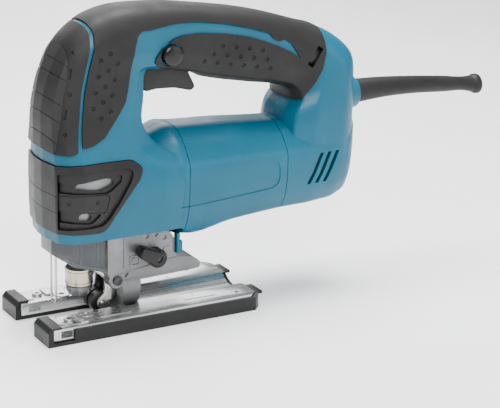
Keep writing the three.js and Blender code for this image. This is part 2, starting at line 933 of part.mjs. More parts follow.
const rim = prism('xy', [
  [18, -halfWidth],
  [baseLength - 5, -halfWidth],
  [baseLength, -halfWidth + 5],
  [baseLength, halfWidth - 5],
  [baseLength - 5, halfWidth],
  [18, halfWidth],
], 0, baseTop - 1.5);
const rimRoom = prism('xy', [
  [0, -halfWidth + coverWall],
  [baseLength - 6.5, -halfWidth + coverWall],
  [baseLength - 1.9, -halfWidth + 6.4],
  [baseLength - 1.9, halfWidth - 6.4],
  [baseLength - 6.5, halfWidth - coverWall],
  [0, halfWidth - coverWall],
], soleThickness, 30);
const bumper = (y0, y1) => prism('xz', [
  [0, 0],
  [3.7, 0],
  [3.7, baseTop + 0.4],
  [9.5, baseTop + 0.4],
  [9.5, baseTop + 1.6],
  [2.6, baseTop + 1.6],
  [0, baseTop - 1.5],
], y0, y1);
piece('sole_cover', cut(
  join(
    prism('xy', plan(0, baseLength, halfWidth, 5), 0, soleThickness),
    cut(rim, rimRoom),
    bumper(-halfWidth, -halfFork),
    bumper(halfFork, halfWidth),
    box(baseLength - 1.5, baseLength + 5, -30, -15, baseTop - 3.5, baseTop - 1.5),
    box(baseLength - 1.5, baseLength + 5, 15, 30, baseTop - 3.5, baseTop - 1.5),
  ),
  boltSlot,
  trough,
  box(-5, forkDepth, -halfFork, halfFork, -5, 30),
), blackPlastic);

// ---- cord guard ----

const guardPath = [
  [226, 131.5, 8.6],
  [246, 131.8, 8.4],
  [270, 132.2, 7.2],
  [294, 131.2, 6.3],
  [320, 129.1, 5.8],
  [346, 126.6, 5.6],
  [347, 126.5, 6.8],
  [351, 126.1, 7.1],
  [352.6, 126, 6.2],
];
function guardTube(shrink) {
  return loft(
    guardPath.map(([x, z, r], i) => {
      const radius = shrink > 0 ? shrink : r;
      const end = i === 0 ? -3 : i === guardPath.length - 1 ? 3 : 0;
      const shift = shrink > 0 ? end : 0;
      return Array.from({ length: 12 }, (_, j) => {
        const angle = (j * Math.PI) / 6;
        return new THREE.Vector3(x + shift, radius * Math.cos(angle), z + radius * Math.sin(angle));
      });
    }),
  );
}
piece('cord_guard', cut(guardTube(0), guardTube(4)), softGrip);

export default assembly;
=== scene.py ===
import math

import bmesh
import bpy
from mathutils import Matrix, Vector


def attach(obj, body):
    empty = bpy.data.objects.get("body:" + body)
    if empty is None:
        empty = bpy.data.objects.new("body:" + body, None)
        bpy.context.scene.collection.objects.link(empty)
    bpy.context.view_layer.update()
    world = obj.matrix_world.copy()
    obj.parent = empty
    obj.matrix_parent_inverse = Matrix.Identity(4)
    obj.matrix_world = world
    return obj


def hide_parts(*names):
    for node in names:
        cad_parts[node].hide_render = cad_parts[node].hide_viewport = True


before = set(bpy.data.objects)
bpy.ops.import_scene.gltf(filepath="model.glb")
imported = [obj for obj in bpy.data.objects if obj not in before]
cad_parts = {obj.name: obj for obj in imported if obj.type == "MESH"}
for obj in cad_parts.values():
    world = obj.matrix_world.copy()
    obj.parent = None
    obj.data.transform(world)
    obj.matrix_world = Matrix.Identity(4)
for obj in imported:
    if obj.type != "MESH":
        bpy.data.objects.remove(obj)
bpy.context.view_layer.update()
print("frame loaded:", len(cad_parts), "nodes")

# Lengths below are in millimetres, with x measured back from the front of the base,
# y from the middle of the tool and z up from the sole. toFrame turns them into the frame.
baseMiddle = 77.5
toFrame = Matrix.Scale(0.001, 4) @ Matrix.Translation((-baseMiddle, 0, 0))


# The camera, five softboxes and the world.
view = {
    "place": (-0.49474, -1.00865, 0.43718),
    "right": (0.86890, -0.49453, 0.02126),
    "up": (0.13440, 0.27704, 0.95141),
    "back": (-0.47640, -0.82383, 0.30719),
    "lens": 129.6,
}
camera = bpy.data.objects.new("camera", bpy.data.cameras.new("camera"))
camera.data.lens = view["lens"]
camera.data.sensor_width = 36
camera.data.clip_start = 0.01
camera.matrix_world = Matrix.Translation(view["place"]) @ Matrix(
    (view["right"], view["up"], view["back"])
).transposed().to_4x4()
bpy.context.scene.collection.objects.link(camera)
bpy.context.scene.camera = camera

softboxes = {
    "keyLight": {"place": (-0.35, -1.3, 1.05), "size": 0.7, "power": 26},
    "fillLight": {"place": (0.95, -1.1, 0.55), "size": 1.0, "power": 8},
    "topLight": {"place": (0.15, 0.15, 1.3), "size": 0.8, "power": 50},
    "lowLight": {"place": (-1.1, -0.35, 0.25), "size": 0.7, "power": 2},
    "backLight": {"place": (0.3, 1.3, 0.7), "size": 1.0, "power": 12},
}
for lightName, box in softboxes.items():
    lamp = bpy.data.lights.new(lightName, "AREA")
    lamp.size = box["size"]
    lamp.energy = box["power"]
    holder = bpy.data.objects.new(lightName, lamp)
    holder.location = box["place"]
    aim = Vector((0.06, 0, 0.1)) - holder.location
    holder.rotation_euler = aim.to_track_quat("-Z", "Y").to_euler()
    bpy.context.scene.collection.objects.link(holder)

world = bpy.data.worlds.new("studio")
world.use_nodes = True
world.node_tree.nodes["Background"].inputs["Color"].default_value = (0.93, 0.96, 1.0, 1)
world.node_tree.nodes["Background"].inputs["Strength"].default_value = 0.42
bpy.context.scene.world = world


# Finishes, all procedural and in object coordinates.
def newFinish(name):
    made = bpy.data.materials.new(name)
    made.use_nodes = True
    tree = made.node_tree
    shader = tree.nodes["Principled BSDF"]
    coords = tree.nodes.new("ShaderNodeTexCoord")
    return made, tree, shader, coords.outputs["Object"]


def setLook(tree, shader, color, rough, metal=0):
    tree.links.new(color, shader.inputs["Base Color"])
    tree.links.new(rough, shader.inputs["Roughness"])
    shader.inputs["Metallic"].default_value = metal


def noiseOn(tree, coords, scale, detail=4, stretch=(1, 1, 1), turn=(0, 0, 0)):
    mapping = tree.nodes.new("ShaderNodeMapping")
    mapping.inputs["Scale"].default_value = stretch
    mapping.inputs["Rotation"].default_value = turn
    noise = tree.nodes.new("ShaderNodeTexNoise")
    noise.inputs["Scale"].default_value = scale
    noise.inputs["Detail"].default_value = detail
    tree.links.new(coords, mapping.inputs["Vector"])
    tree.links.new(mapping.outputs["Vector"], noise.inputs["Vector"])
    return noise.outputs["Fac"]


def rampOn(tree, value, stops):
    ramp = tree.nodes.new("ShaderNodeValToRGB")
    while len(ramp.color_ramp.elements) < len(stops):
        ramp.color_ramp.elements.new(0.5)
    for element, (place, color) in zip(ramp.color_ramp.elements, stops):
        element.position = place
        element.color = (*color, 1)
    tree.links.new(value, ramp.inputs["Fac"])
    return ramp.outputs["Color"]


def mixOn(tree, share, first, second, how="MIX"):
    mix = tree.nodes.new("ShaderNodeMix")
    mix.data_type = "RGBA"
    mix.blend_type = how
    if isinstance(share, float):
        mix.inputs[0].default_value = share
    else:
        tree.links.new(share, mix.inputs[0])
    # the colour sockets of a Mix node are its inputs 6 and 7 and its output 2
    for socket, value in ((mix.inputs[6], first), (mix.inputs[7], second)):
        if isinstance(value, tuple):
            socket.default_value = (*value, 1)
        else:
            tree.links.new(value, socket)
    return mix.outputs[2]


def rangeOn(tree, value, low, high, fromLow=0.3, fromHigh=0.7):
    spread = tree.nodes.new("ShaderNodeMapRange")
    spread.inputs["From Min"].default_value = fromLow
    spread.inputs["From Max"].default_value = fromHigh
    spread.inputs["To Min"].default_value = low
    spread.inputs["To Max"].default_value = high
    tree.links.new(value, spread.inputs["Value"])
    return spread.outputs["Result"]


def bumpOn(tree, shader, height, depth, strength=1.0, below=None):
    bump = tree.nodes.new("ShaderNodeBump")
    bump.inputs["Distance"].default_value = depth
    bump.inputs["Strength"].default_value = strength
    tree.links.new(height, bump.inputs["Height"])
    if below is not None:
        tree.links.new(below, bump.inputs["Normal"])
    tree.links.new(bump.outputs["Normal"], shader.inputs["Normal"])
    return bump.outputs["Normal"]


# 1 along edges and 0 elsewhere: a rounded normal turns away from the true one there.
def edgesOn(tree, radius=0.0005):
    rounded = tree.nodes.new("ShaderNodeBevel")
    rounded.samples = 4
    rounded.inputs["Radius"].default_value = radius
    shape = tree.nodes.new("ShaderNodeNewGeometry")
    turned = tree.nodes.new("ShaderNodeVectorMath")
    turned.operation = "DOT_PRODUCT"
    tree.links.new(rounded.outputs["Normal"], turned.inputs[0])
    tree.links.new(shape.outputs["Normal"], turned.inputs[1])
    return rangeOn(tree, turned.outputs["Value"], 1, 0, 0.8, 0.99)


# One row for each moulded or cast finish: two colours that a broad noise mixes, the colour
# on worn edges, roughness from smooth to rough, the grain's scale and its depth in metres.
finishRows = {
    "bluePlastic": {
        "colors": ((0.0, 0.078, 0.132), (0.0, 0.091, 0.153)),
        "worn": (0.001, 0.14, 0.22),
        "rough": (0.33, 0.45),
        "grain": 2600,
        "depth": 0.00003,
        "coat": 0.04,
    },
    "softElastomer": {
        "colors": ((0.0065, 0.006, 0.006), (0.0105, 0.0098, 0.0096)),
        "worn": (0.024, 0.023, 0.022),
        "rough": (0.5, 0.66),
        "grain": 3400,
        "depth": 0.00006,
    },
    "tileElastomer": {
        "colors": ((0.014, 0.0135, 0.0135), (0.02, 0.019, 0.019)),
        "worn": (0.045, 0.044, 0.043),
        "rough": (0.42, 0.56),
        "grain": 2800,
        "depth": 0.00004,
    },
    "blackPlastic": {
        "colors": ((0.0045, 0.0043, 0.0044), (0.008, 0.0077, 0.0077)),
        "worn": (0.03, 0.03, 0.031),
        "rough": (0.36, 0.5),
        "grain": 2400,
        "depth": 0.00005,
        "coat": 0.05,
    },
    "glossyBlack": {
        "colors": ((0.004, 0.004, 0.0042), (0.007, 0.007, 0.0073)),
        "worn": (0.03, 0.03, 0.03),
        "rough": (0.24, 0.34),
        "grain": 1800,
        "depth": 0.00001,
        "coat": 0.06,
    },
    "castAluminium": {
        "colors": ((0.15, 0.152, 0.155), (0.22, 0.222, 0.225)),
        "worn": (0.46, 0.46, 0.45),
        "rough": (0.36, 0.52),
        "grain": 1500,
        "depth": 0.00009,
        "metal": 0.82,
    },
    "turnedSteel": {
        "colors": ((0.46, 0.455, 0.44), (0.56, 0.555, 0.54)),
        "worn": (0.75, 0.74, 0.72),
        "rough": (0.2, 0.32),
        "grain": 2600,
        "depth": 0.00002,
        "metal": 1,
    },
    "darkSteel": {
        "colors": ((0.045, 0.044, 0.045), (0.085, 0.083, 0.083)),
        "worn": (0.3, 0.29, 0.28),
        "rough": (0.3, 0.46),
        "grain": 1900,
        "depth": 0.00003,
        "metal": 0.9,
    },
    "champagneNickel": {
        "colors": ((0.42, 0.385, 0.315), (0.52, 0.475, 0.39)),
        "worn": (0.72, 0.68, 0.58),
        "rough": (0.2, 0.3),
        "grain": 2200,
        "depth": 0.00001,
        "metal": 1,
    },
    "brass": {
        "colors": ((0.42, 0.29, 0.085), (0.52, 0.37, 0.12)),
        "worn": (0.75, 0.58, 0.24),
        "rough": (0.26, 0.4),
        "grain": 1900,
        "depth": 0.00002,
        "metal": 1,
    },
    "carbon": {
        "colors": ((0.012, 0.012, 0.013), (0.024, 0.023, 0.023)),
        "worn": (0.06, 0.058, 0.056),
        "rough": (0.6, 0.78),
        "grain": 4200,
        "depth": 0.00008,
    },
}


def buildFinish(name, row):
    made, tree, shader, coords = newFinish(name)
    broad = noiseOn(tree, coords, 34, 3)
    body = rampOn(tree, broad, [(0.32, row["colors"][0]), (0.7, row["colors"][1])])
    speck = noiseOn(tree, coords, row["grain"] * 0.35, 5)
    shade = rampOn(tree, speck, [(0.3, (0.88, 0.88, 0.88)), (0.68, (1.0, 1.0, 1.0))])
    body = mixOn(tree, 0.8, body, shade, "MULTIPLY")
    scuffs = noiseOn(tree, coords, 210, 6)
    edges = edgesOn(tree)
    worn = tree.nodes.new("ShaderNodeMath")
    worn.operation = "MULTIPLY"
    tree.links.new(edges, worn.inputs[0])
    tree.links.new(rangeOn(tree, scuffs, 0.12, 0.6, 0.4, 0.62), worn.inputs[1])
    body = mixOn(tree, worn.outputs["Value"], body, row["worn"])
    smears = noiseOn(tree, coords, 60, 6)
    setLook(tree, shader, body, rangeOn(tree, smears, *row["rough"]), row.get("metal", 0))
    shader.inputs["Coat Weight"].default_value = row.get("coat", 0)
    shader.inputs["Coat Roughness"].default_value = 0.25
    shader.inputs["Specular IOR Level"].default_value = 0.5 if row.get("metal") else 0.27
    grain = noiseOn(tree, coords, row["grain"], 3)
    wave = bumpOn(tree, shader, noiseOn(tree, coords, 95, 2), 0.00012, 0.25)
    bumpOn(tree, shader, grain, row["depth"], 0.8, wave)
    return made


finishes = {name: buildFinish(name, row) for name, row in finishRows.items()}


def buildBrushed():
    # aluminium machined along the tool: fine lines along x, a little grime across them
    made, tree, shader, coords = newFinish("machinedAluminium")
    lines = noiseOn(tree, coords, 900, 4, (0.02, 1, 1))
    broad = noiseOn(tree, coords, 26, 4, (0.5, 1, 1))
    body = rampOn(tree, lines, [(0.25, (0.5, 0.503, 0.506)), (0.75, (0.68, 0.68, 0.675))])
    stain = rampOn(tree, broad, [(0.35, (0.86, 0.86, 0.87)), (0.62, (1.0, 1.0, 1.0))])
    body = mixOn(tree, 0.8, body, stain, "MULTIPLY")
    setLook(tree, shader, body, rangeOn(tree, lines, 0.2, 0.36), 0.95)
    bumpOn(tree, shader, lines, 0.00003, 0.7)
    return made


def bandsOn(tree, coords, direction, scale, distortion):
    wave = tree.nodes.new("ShaderNodeTexWave")
    wave.bands_direction = direction
    wave.inputs["Scale"].default_value = scale
    wave.inputs["Distortion"].default_value = distortion
    tree.links.new(coords, wave.inputs["Vector"])
    return wave.outputs["Fac"]


def buildWinding():
    # enamelled copper wire laid side by side along the coil
    made, tree, shader, coords = newFinish("copperWinding")
    bands = bandsOn(tree, coords, "Y", 420, 0.6)
    # each band is a turn of wire; its dark part is painted shade in the groove between turns, its bright part the
    # copper
    body = rampOn(tree, bands, [(0.1, (0.09, 0.022, 0.008)), (0.7, (0.42, 0.13, 0.04))])
    smears = noiseOn(tree, coords, 70, 4)
    glaze = rampOn(tree, smears, [(0.3, (0.75, 0.7, 0.66)), (0.7, (1.0, 1.0, 1.0))])
    body = mixOn(tree, 0.7, body, glaze, "MULTIPLY")
    setLook(tree, shader, body, rangeOn(tree, bands, 0.5, 0.3, 0, 1), 0.7)
    bumpOn(tree, shader, bands, 0.0002, 0.8)
    return made


def buildLamination():
    # stamped sheets stacked along x
    made, tree, shader, coords = newFinish("laminatedCore")
    bands = bandsOn(tree, coords, "X", 620, 0.2)
    body = rampOn(tree, bands, [(0.15, (0.03, 0.029, 0.028)), (0.8, (0.17, 0.165, 0.16))])
    rust = noiseOn(tree, coords, 120, 6)
    tint = rampOn(tree, rust, [(0.45, (1.0, 1.0, 1.0)), (0.72, (0.9, 0.72, 0.6))])
    body = mixOn(tree, 0.6, body, tint, "MULTIPLY")
    setLook(tree, shader, body, rangeOn(tree, rust, 0.35, 0.55), 0.85)
    bumpOn(tree, shader, bands, 0.0001, 0.7)
    return made


def buildSmoked():
    # clear plastic with a smoky tint, scuffed a little on the outside
    made, tree, shader, coords = newFinish("smokedClear")
    haze = noiseOn(tree, coords, 85, 6)
    body = rampOn(tree, haze, [(0.3, (0.008, 0.011, 0.015)), (0.7, (0.02, 0.026, 0.032))])
    # lighter grey along every edge: a painted edge highlight
    body = mixOn(tree, edgesOn(tree), body, (0.2, 0.24, 0.27))
    scratches = noiseOn(tree, coords, 240, 5)
    setLook(tree, shader, body, rangeOn(tree, scratches, 0.05, 0.16))
    shader.inputs["Alpha"].default_value = 0.88
    shader.inputs["IOR"].default_value = 1.5
    shader.inputs["Coat Weight"].default_value = 0.2
    shader.inputs["Coat Roughness"].default_value = 0.06
    bumpOn(tree, shader, noiseOn(tree, coords, 70, 2), 0.0003, 0.35)
    return made


def buildLens():
    made, tree, shader, coords = newFinish("lampLens")
    rings = tree.nodes.new("ShaderNodeTexVoronoi")
    rings.inputs["Scale"].default_value = 1500
    tree.links.new(coords, rings.inputs["Vector"])
    cells = rings.outputs["Distance"]
    body = rampOn(tree, cells, [(0.0, (0.95, 0.95, 0.86)), (0.8, (0.7, 0.72, 0.7))])
    setLook(tree, shader, body, rangeOn(tree, cells, 0.08, 0.2, 0, 1))
    shader.inputs["Coat Weight"].default_value = 0.5
    bumpOn(tree, shader, cells, 0.0002, 0.5)
    return made


def buildFloor():
    made, tree, shader, coords = newFinish("paleFloor")
    clouds = noiseOn(tree, coords, 3, 3)
    body = rampOn(tree, clouds, [(0.3, (0.86, 0.865, 0.87)), (0.7, (0.9, 0.9, 0.9))])
    setLook(tree, shader, body, rangeOn(tree, noiseOn(tree, coords, 9, 3), 0.5, 0.6))
    return made


finishes["machinedAluminium"] = buildBrushed()
finishes["copperWinding"] = buildWinding()
finishes["laminatedCore"] = buildLamination()
finishes["smokedClear"] = buildSmoked()
finishes["lampLens"] = buildLens()
finishes["paleFloor"] = buildFloor()
print("finishes ready:", len(finishes))

floorMesh = bmesh.new()
bmesh.ops.create_grid(floorMesh, x_segments=2, y_segments=2, size=6)
floorData = bpy.data.meshes.new("floor")
floorMesh.to_mesh(floorData)
floorMesh.free()
floor = bpy.data.objects.new("floor", floorData)
floor.data.materials.append(finishes["paleFloor"])
bpy.context.scene.collection.objects.link(floor)


# Modelling helpers.
def asObject(bm):
    bmesh.ops.recalc_face_normals(bm, faces=bm.faces)
    data = bpy.data.meshes.new("shape")
    bm.to_mesh(data)
    bm.free()
    made = bpy.data.objects.new("shape", data)
    bpy.context.scene.collection.objects.link(made)
    return made


def drop(*unwanted):
    for each in unwanted:
        data = each.data
        bpy.data.objects.remove(each)
        bpy.data.meshes.remove(data)


def applyModifiers(target):
    graph = bpy.context.evaluated_depsgraph_get()
    data = bpy.data.meshes.new_from_object(target.evaluated_get(graph))
    old = target.data
    target.modifiers.clear()
    target.data = data
    bpy.data.meshes.remove(old)
    return target


def copyOf(source):
    made = bpy.data.objects.new("shape", source.data.copy())
    bpy.context.scene.collection.objects.link(made)
    return made


# Flat triangles only, and no slivers, so that the next cut meets a sound mesh.
def tidy(target):
    bm = bmesh.new()
    bm.from_mesh(target.data)
    bmesh.ops.triangulate(bm, faces=bm.faces)
    bmesh.ops.remove_doubles(bm, verts=bm.verts, dist=0.0008)
    bmesh.ops.dissolve_degenerate(bm, edges=bm.edges, dist=0.0008)
    bm.to_mesh(target.data)
    bm.free()


def carve(target, *tools, how="DIFFERENCE", keep=False):
    for tool in tools:
        step = target.modifiers.new("step", "BOOLEAN")
        step.operation = how
        step.solver = "EXACT"
        step.object = tool
        applyModifiers(target)
        tidy(target)
        if not keep:
            drop(tool)
    return target


def weld(target, *others):
    return carve(target, *others, how="UNION")


def within(target, tool, keep=False):
    return carve(target, tool, how="INTERSECT", keep=keep)


def onPlane(a, b, c, plane):
    if plane == "xz":
        return Vector((a, c, b))
    if plane == "yz":
        return Vector((c, a, b))
    return Vector((a, b, c))


# A polygon with rounded corners, extruded, its rims bevelled.
def prism(points, low, high, plane="xz", corner=0, bevel=0, segments=2):
    bm = bmesh.new()
    verts = [bm.verts.new(onPlane(a, b, low, plane)) for a, b in points]
    bm.faces.new(verts)
    if corner:
        bmesh.ops.bevel(
            bm, geom=verts, offset=corner, offset_type="OFFSET", segments=5,
            profile=0.5, affect="VERTICES", clamp_overlap=True, material=-1,
        )
    grown = bmesh.ops.extrude_face_region(bm, geom=bm.faces[:])
    moved = [v for v in grown["geom"] if isinstance(v, bmesh.types.BMVert)]
    bmesh.ops.translate(bm, verts=moved, vec=onPlane(0, 0, high - low, plane))
    bmesh.ops.recalc_face_normals(bm, faces=bm.faces)
    if bevel:
        rims = [e for e in bm.edges if e.calc_face_angle(0) > 0.7]
        bmesh.ops.bevel(
            bm, geom=rims, offset=bevel, offset_type="OFFSET", segments=segments,
            profile=0.5, affect="EDGES", clamp_overlap=True, material=-1,
        )
    return asObject(bm)


def block(x0, x1, y0, y1, z0, z1, bevel=0, corner=0):
    return prism([(x0, z0), (x1, z0), (x1, z1), (x0, z1)], y0, y1, corner=corner, bevel=bevel)


# A rounded pad seen from above; way -1 puts it on the tool's left.
def pad(x0, x1, y0, y1, way, low, high, corner, bevel=0):
    corners = [(x0, way * y0), (x1, way * y0), (x1, way * y1), (x0, way * y1)]
    return prism(corners, low, high, "xy", corner=corner, bevel=bevel)


# A turned shape: rows of (radius, height), spun about an axis through a point.
def turned(profile, place, axis="z", steps=48):
    bm = bmesh.new()
    chain = [bm.verts.new((r, 0, h)) for r, h in profile]
    edges = [bm.edges.new((chain[i], chain[i + 1])) for i in range(len(chain) - 1)]
    if profile[0][0] > 0 and profile[-1][0] > 0:
        edges.append(bm.edges.new((chain[-1], chain[0])))
    bmesh.ops.spin(
        bm, geom=chain + edges, cent=(0, 0, 0), axis=(0, 0, 1), dvec=(0, 0, 0),
        angle=2 * math.pi, steps=steps, use_merge=True, use_duplicate=False,
    )
    bmesh.ops.remove_doubles(bm, verts=bm.verts, dist=1e-4)
    turn = {
        "z": Matrix.Identity(4),
        "x": Matrix.Rotation(math.pi / 2, 4, "Y"),
        "y": Matrix.Rotation(-math.pi / 2, 4, "X"),
    }[axis]
    bmesh.ops.transform(bm, matrix=Matrix.Translation(place) @ turn, verts=bm.verts)
    return asObject(bm)


def rod(radius, low, high, a, b, axis="z", steps=32, chamfer=0):
    rows = [(0, low), (radius, low), (radius, high), (0, high)]
    if chamfer:
        c = min(chamfer, radius / 2)
        rows[1:3] = [(radius - c, low), (radius, low + c), (radius, high - c), (radius - c, high)]
    place = {"x": (0, a, b), "y": (a, 0, b), "z": (a, b, 0)}[axis]
    return turned(rows, place, axis, steps)


# A closed skin over a row of rings with equal numbers of points: each ring is extruded
# from the last one and moved to its station.
def skinOver(rings):
    bm = bmesh.new()
    current = [bm.verts.new(p) for p in rings[0]]
    count = len(current)
    edges = [bm.edges.new((current[i], current[(i + 1) % count])) for i in range(count)]
    firstEdges = edges
    for ring in rings[1:]:
        grown = bmesh.ops.extrude_edge_only(bm, edges=edges)["geom"]
        order = {v: i for i, v in enumerate(current)}
        fresh = [None] * count
        for v in (g for g in grown if isinstance(g, bmesh.types.BMVert)):
            for e in v.link_edges:
                other = e.other_vert(v)
                if other in order:
                    fresh[order[other]] = v
        for v, p in zip(fresh, ring):
            v.co = p
        edges = [g for g in grown if isinstance(g, bmesh.types.BMEdge)]
        current = fresh
    bmesh.ops.contextual_create(bm, geom=firstEdges)
    bmesh.ops.contextual_create(bm, geom=edges)
    bmesh.ops.triangulate(bm, faces=bm.faces)  # so that every face is flat for the cuts
    return asObject(bm)


# Smooth in-between rows of a station table, each column a curve over the stations' places.
def between(rows, places, steps):
    def slope(i, k):
        if i == 0 or i == len(rows) - 1:
            j = max(i - 1, 0)
            return (rows[j + 1][k] - rows[j][k]) / (places[j + 1] - places[j])
        h0, h1 = places[i] - places[i - 1], places[i + 1] - places[i]
        s0 = (rows[i][k] - rows[i - 1][k]) / h0
        s1 = (rows[i + 1][k] - rows[i][k]) / h1
        return (s0 * h1 + s1 * h0) / (h0 + h1)

    filled = []
    for i in range(len(rows) - 1):
        h = places[i + 1] - places[i]
        for step in range(steps):
            t = step / steps
            row = []
            for k in range(len(rows[0])):
                a, b = rows[i][k], rows[i + 1][k]
                m0, m1 = slope(i, k) * h, slope(i + 1, k) * h
                row.append(
                    a * (2 * t**3 - 3 * t**2 + 1) + m0 * (t**3 - 2 * t**2 + t)
                    + b * (3 * t**2 - 2 * t**3) + m1 * (t**3 - t**2)
                )
            filled.append(row)
    filled.append(list(rows[-1]))
    return filled


def softened(points, share, times=2):
    for _ in range(times):
        cut = []
        for a, b in zip(points, points[1:] + points[:1]):
            cut += [a.lerp(b, share), b.lerp(a, share)]
        points = cut
    return points


def shaded(target, angle=32):
    bm = bmesh.new()
    bm.from_mesh(target.data)
    bmesh.ops.remove_doubles(bm, verts=bm.verts, dist=0.0005)
    bmesh.ops.dissolve_degenerate(bm, edges=bm.edges, dist=0.0005)
    limit = math.radians(angle)
    for face in bm.faces:
        face.smooth = True
    for edge in bm.edges:
        edge.smooth = edge.calc_face_angle(0) < limit
    bm.to_mesh(target.data)
    bm.free()


# The last step of every piece: shading, the move into the frame, finish and body.
def place(target, name, body, finish, slot, *nodes, angle=32):
    shaded(target, angle)
    target.data.transform(toFrame)
    target.name = name
    target.data.name = name
    target.data.materials.clear()
    target.data.materials.append(finishes[finish])
    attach(target, body)
    if nodes:
        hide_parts(*nodes)
    return target


def largest(target):
    bm = bmesh.new()
    bm.from_mesh(target.data)
    left = set(bm.verts)
    islands = []
    while left:
        seed = left.pop()
        island, edge = {seed}, [seed]
        while edge:
            v = edge.pop()
            for e in v.link_edges:
                other = e.other_vert(v)
                if other in left:
                    left.discard(other)
                    island.add(other)
                    edge.append(other)
        islands.append(island)
    islands.sort(key=len, reverse=True)
    spare = [v for island in islands[1:] for v in island]
    bmesh.ops.delete(bm, geom=spare, context="VERTS")
    bm.to_mesh(target.data)
    bm.free()
    return target


# Where a line along y meets a piece, from the side that way names: -1 is the tool's left.
def sideOf(target, x, z, way):
    hit, spot, normal, _ = target.ray_cast(Vector((x, way * 90, z)), Vector((0, -way, 0)))
    return (spot, normal) if hit else (None, None)


# Round pits pressed into a piece along its surface.
def pits(target, spots, radius, depth, ways=(-1, 1)):
    bm = bmesh.new()
    for way in ways:
        for x, z in spots:
            spot, normal = sideOf(target, x, z, way)
            if spot is None:
                continue
            middle = spot + normal * (radius - depth)
            bmesh.ops.create_uvsphere(
                bm, u_segments=16, v_segments=10, radius=radius,
                matrix=Matrix.Translation(middle),
            )
    return carve(target, asObject(bm))


def circle(count):
    return [2 * math.pi * k / count for k in range(count)]


# The outside skin of the body: a loop round the handle opening, and the motor's barrel.
handle = 19
bodyForm = {
    # along the way from the outer to the inner side, share of the half width
    "noseOutline": [(0, 0.2), (0.03, 0.74), (0.11, 0.93), (0.2, 1), (0.78, 0.97), (1, 0.9)],
    "gripOutline": [(0, 0.42), (0.07, 0.76), (0.24, 1), (0.68, 1), (0.92, 0.82), (1, 0.45)],
    "splits": [1, 1, 3, 5, 3],
    # outer x and z, inner x and z, half width, how grip-like the outline is, flare to the barrel
    "loop": [
        (12.5, 62, 104, 62, handle * 1.51, 0, 0.03),
        (11.5, 84, 104, 84, handle * 1.52, 0, 0.27),
        (11.5, 108, 102, 108, handle * 1.5, 0, 0.2),
        (11.8, 120, 84, 120, handle * 1.37, 0.1, 0),
        (12, 129, 77, 129, handle * 1.24, 0.2, 0),
        (13.2, 151, 77.5, 151, handle * 1.11, 0.3, 0),
        (17.5, 168, 79, 163, handle * 1.08, 0.5, 0),
        (26, 186, 82, 166, handle * 1.06, 0.7, 0),
        (40, 198.5, 88, 165.5, handle * 1.05, 0.85, 0),
        (57, 205, 97, 164, handle * 1.03, 1, 0),
        (89, 206, 109, 161.5, handle, 1, 0),
        (124, 202, 128, 156.5, handle * 0.98, 1, 0),
        (163, 195, 156, 151, handle * 0.99, 1, 0),
        (196, 185.5, 176, 147.5, handle * 1.05, 1, 0),
        (221, 177, 187.5, 143, handle * 1.16, 1, 0),
        (235, 164, 189, 136, handle * 1.32, 1, 0),
        (236.5, 141, 184, 128.5, handle * 1.45, 1, 0),
        (236.5, 116, 181, 114, handle * 1.5, 1, 0),
        (236, 92, 182, 94, handle * 1.42, 1, 0),
        (233.5, 72, 186, 78, handle * 1.1, 1, 0),
    ],
    # x, half width, bottom, top
    "barrel": [
        (80, 26, 62, 120),
        (89, 30, 60, 124.5),
        (98, 33.5, 55, 127),
        (102, 33.5, 53.5, 126.5),
        (140, 32.8, 57.5, 124.5),
        (177, 30.5, 60, 122),
        (206, 29.5, 61, 122),
        (222, 27.5, 63.5, 124),
        (231, 23.5, 69, 126),
        (236.5, 16.5, 79, 128),
    ],
    # share of the half width, share of the height
    "barrelOutline": [
        (0.35, 0), (0.74, 0.06), (0.93, 0.24), (1, 0.42), (1, 0.71), (0.7, 0.89), (0.33, 1),
    ],
    "steps": 5,
}


def halfOutline(share):
    rows = []
    for (t0, f0), (t1, f1) in zip(bodyForm["noseOutline"], bodyForm["gripOutline"]):
        rows.append((t0 + (t1 - t0) * share, f0 + (f1 - f0) * share))
    filled = []
    for (a, b), count in zip(zip(rows, rows[1:]), bodyForm["splits"]):
        for k in range(count):
            filled.append((a[0] + (b[0] - a[0]) * k / count, a[1] + (b[1] - a[1]) * k / count))
    return filled + [rows[-1]]


def loopSkin(grow, drop=0, crisp=False):
    rows = [list(row) for row in bodyForm["loop"]]
    rows[0][1] -= drop
    rows[0][3] -= drop
    places = [0]
    for a, b in zip(rows, rows[1:]):
        stepX, stepZ = (b[0] + b[2] - a[0] - a[2]) / 2, (b[1] + b[3] - a[1] - a[3]) / 2
        places.append(places[-1] + math.hypot(stepX, stepZ))
    rings = []
    for ox, oz, ix, iz, half, share, flare in between(rows, places, bodyForm["steps"]):
        outer, inner = Vector((ox, 0, oz)), Vector((ix, 0, iz))
        along = (inner - outer).normalized()
        outer -= along * grow
        inner += along * grow
        share = min(max(share, 0), 1)
        side = []
        for t, f in halfOutline(share):
            p = outer.lerp(inner, t)
            late = min(max((t - 0.35) / 0.65, 0), 1)
            wide = 1 + flare * late * late * (3 - 2 * late)
            side.append(Vector((p.x, f * wide * half + min(f, 1) * grow, p.z)))
        other = [Vector((p.x, -p.y, p.z)) for p in reversed(side)]
        rings.append(softened(side + other, 0.025 if crisp else 0.05 + 0.2 * share))
    return skinOver(rings)


def barrelSkin(grow):
    rows = bodyForm["barrel"]
    filled = between(rows, [row[0] for row in rows], bodyForm["steps"])
    rings = []
    front, rear = rows[0][0], rows[-1][0]
    stretch = (rear - front + 2 * grow) / (rear - front)
    for x, half, low, high in filled:
        x = front - grow + (x - front) * stretch
        side = [
            Vector((x, f * (half + grow), low - grow + t * (high - low + 2 * grow)))
            for f, t in bodyForm["barrelOutline"]
        ]
        other = [Vector((p.x, -p.y, p.z)) for p in reversed(side)]
        rings.append(softened(side + other, 0.14))
    return skinOver(rings)


def skinBetween(outer, inner, drop=0):
    return carve(loopSkin(outer), loopSkin(inner, drop))


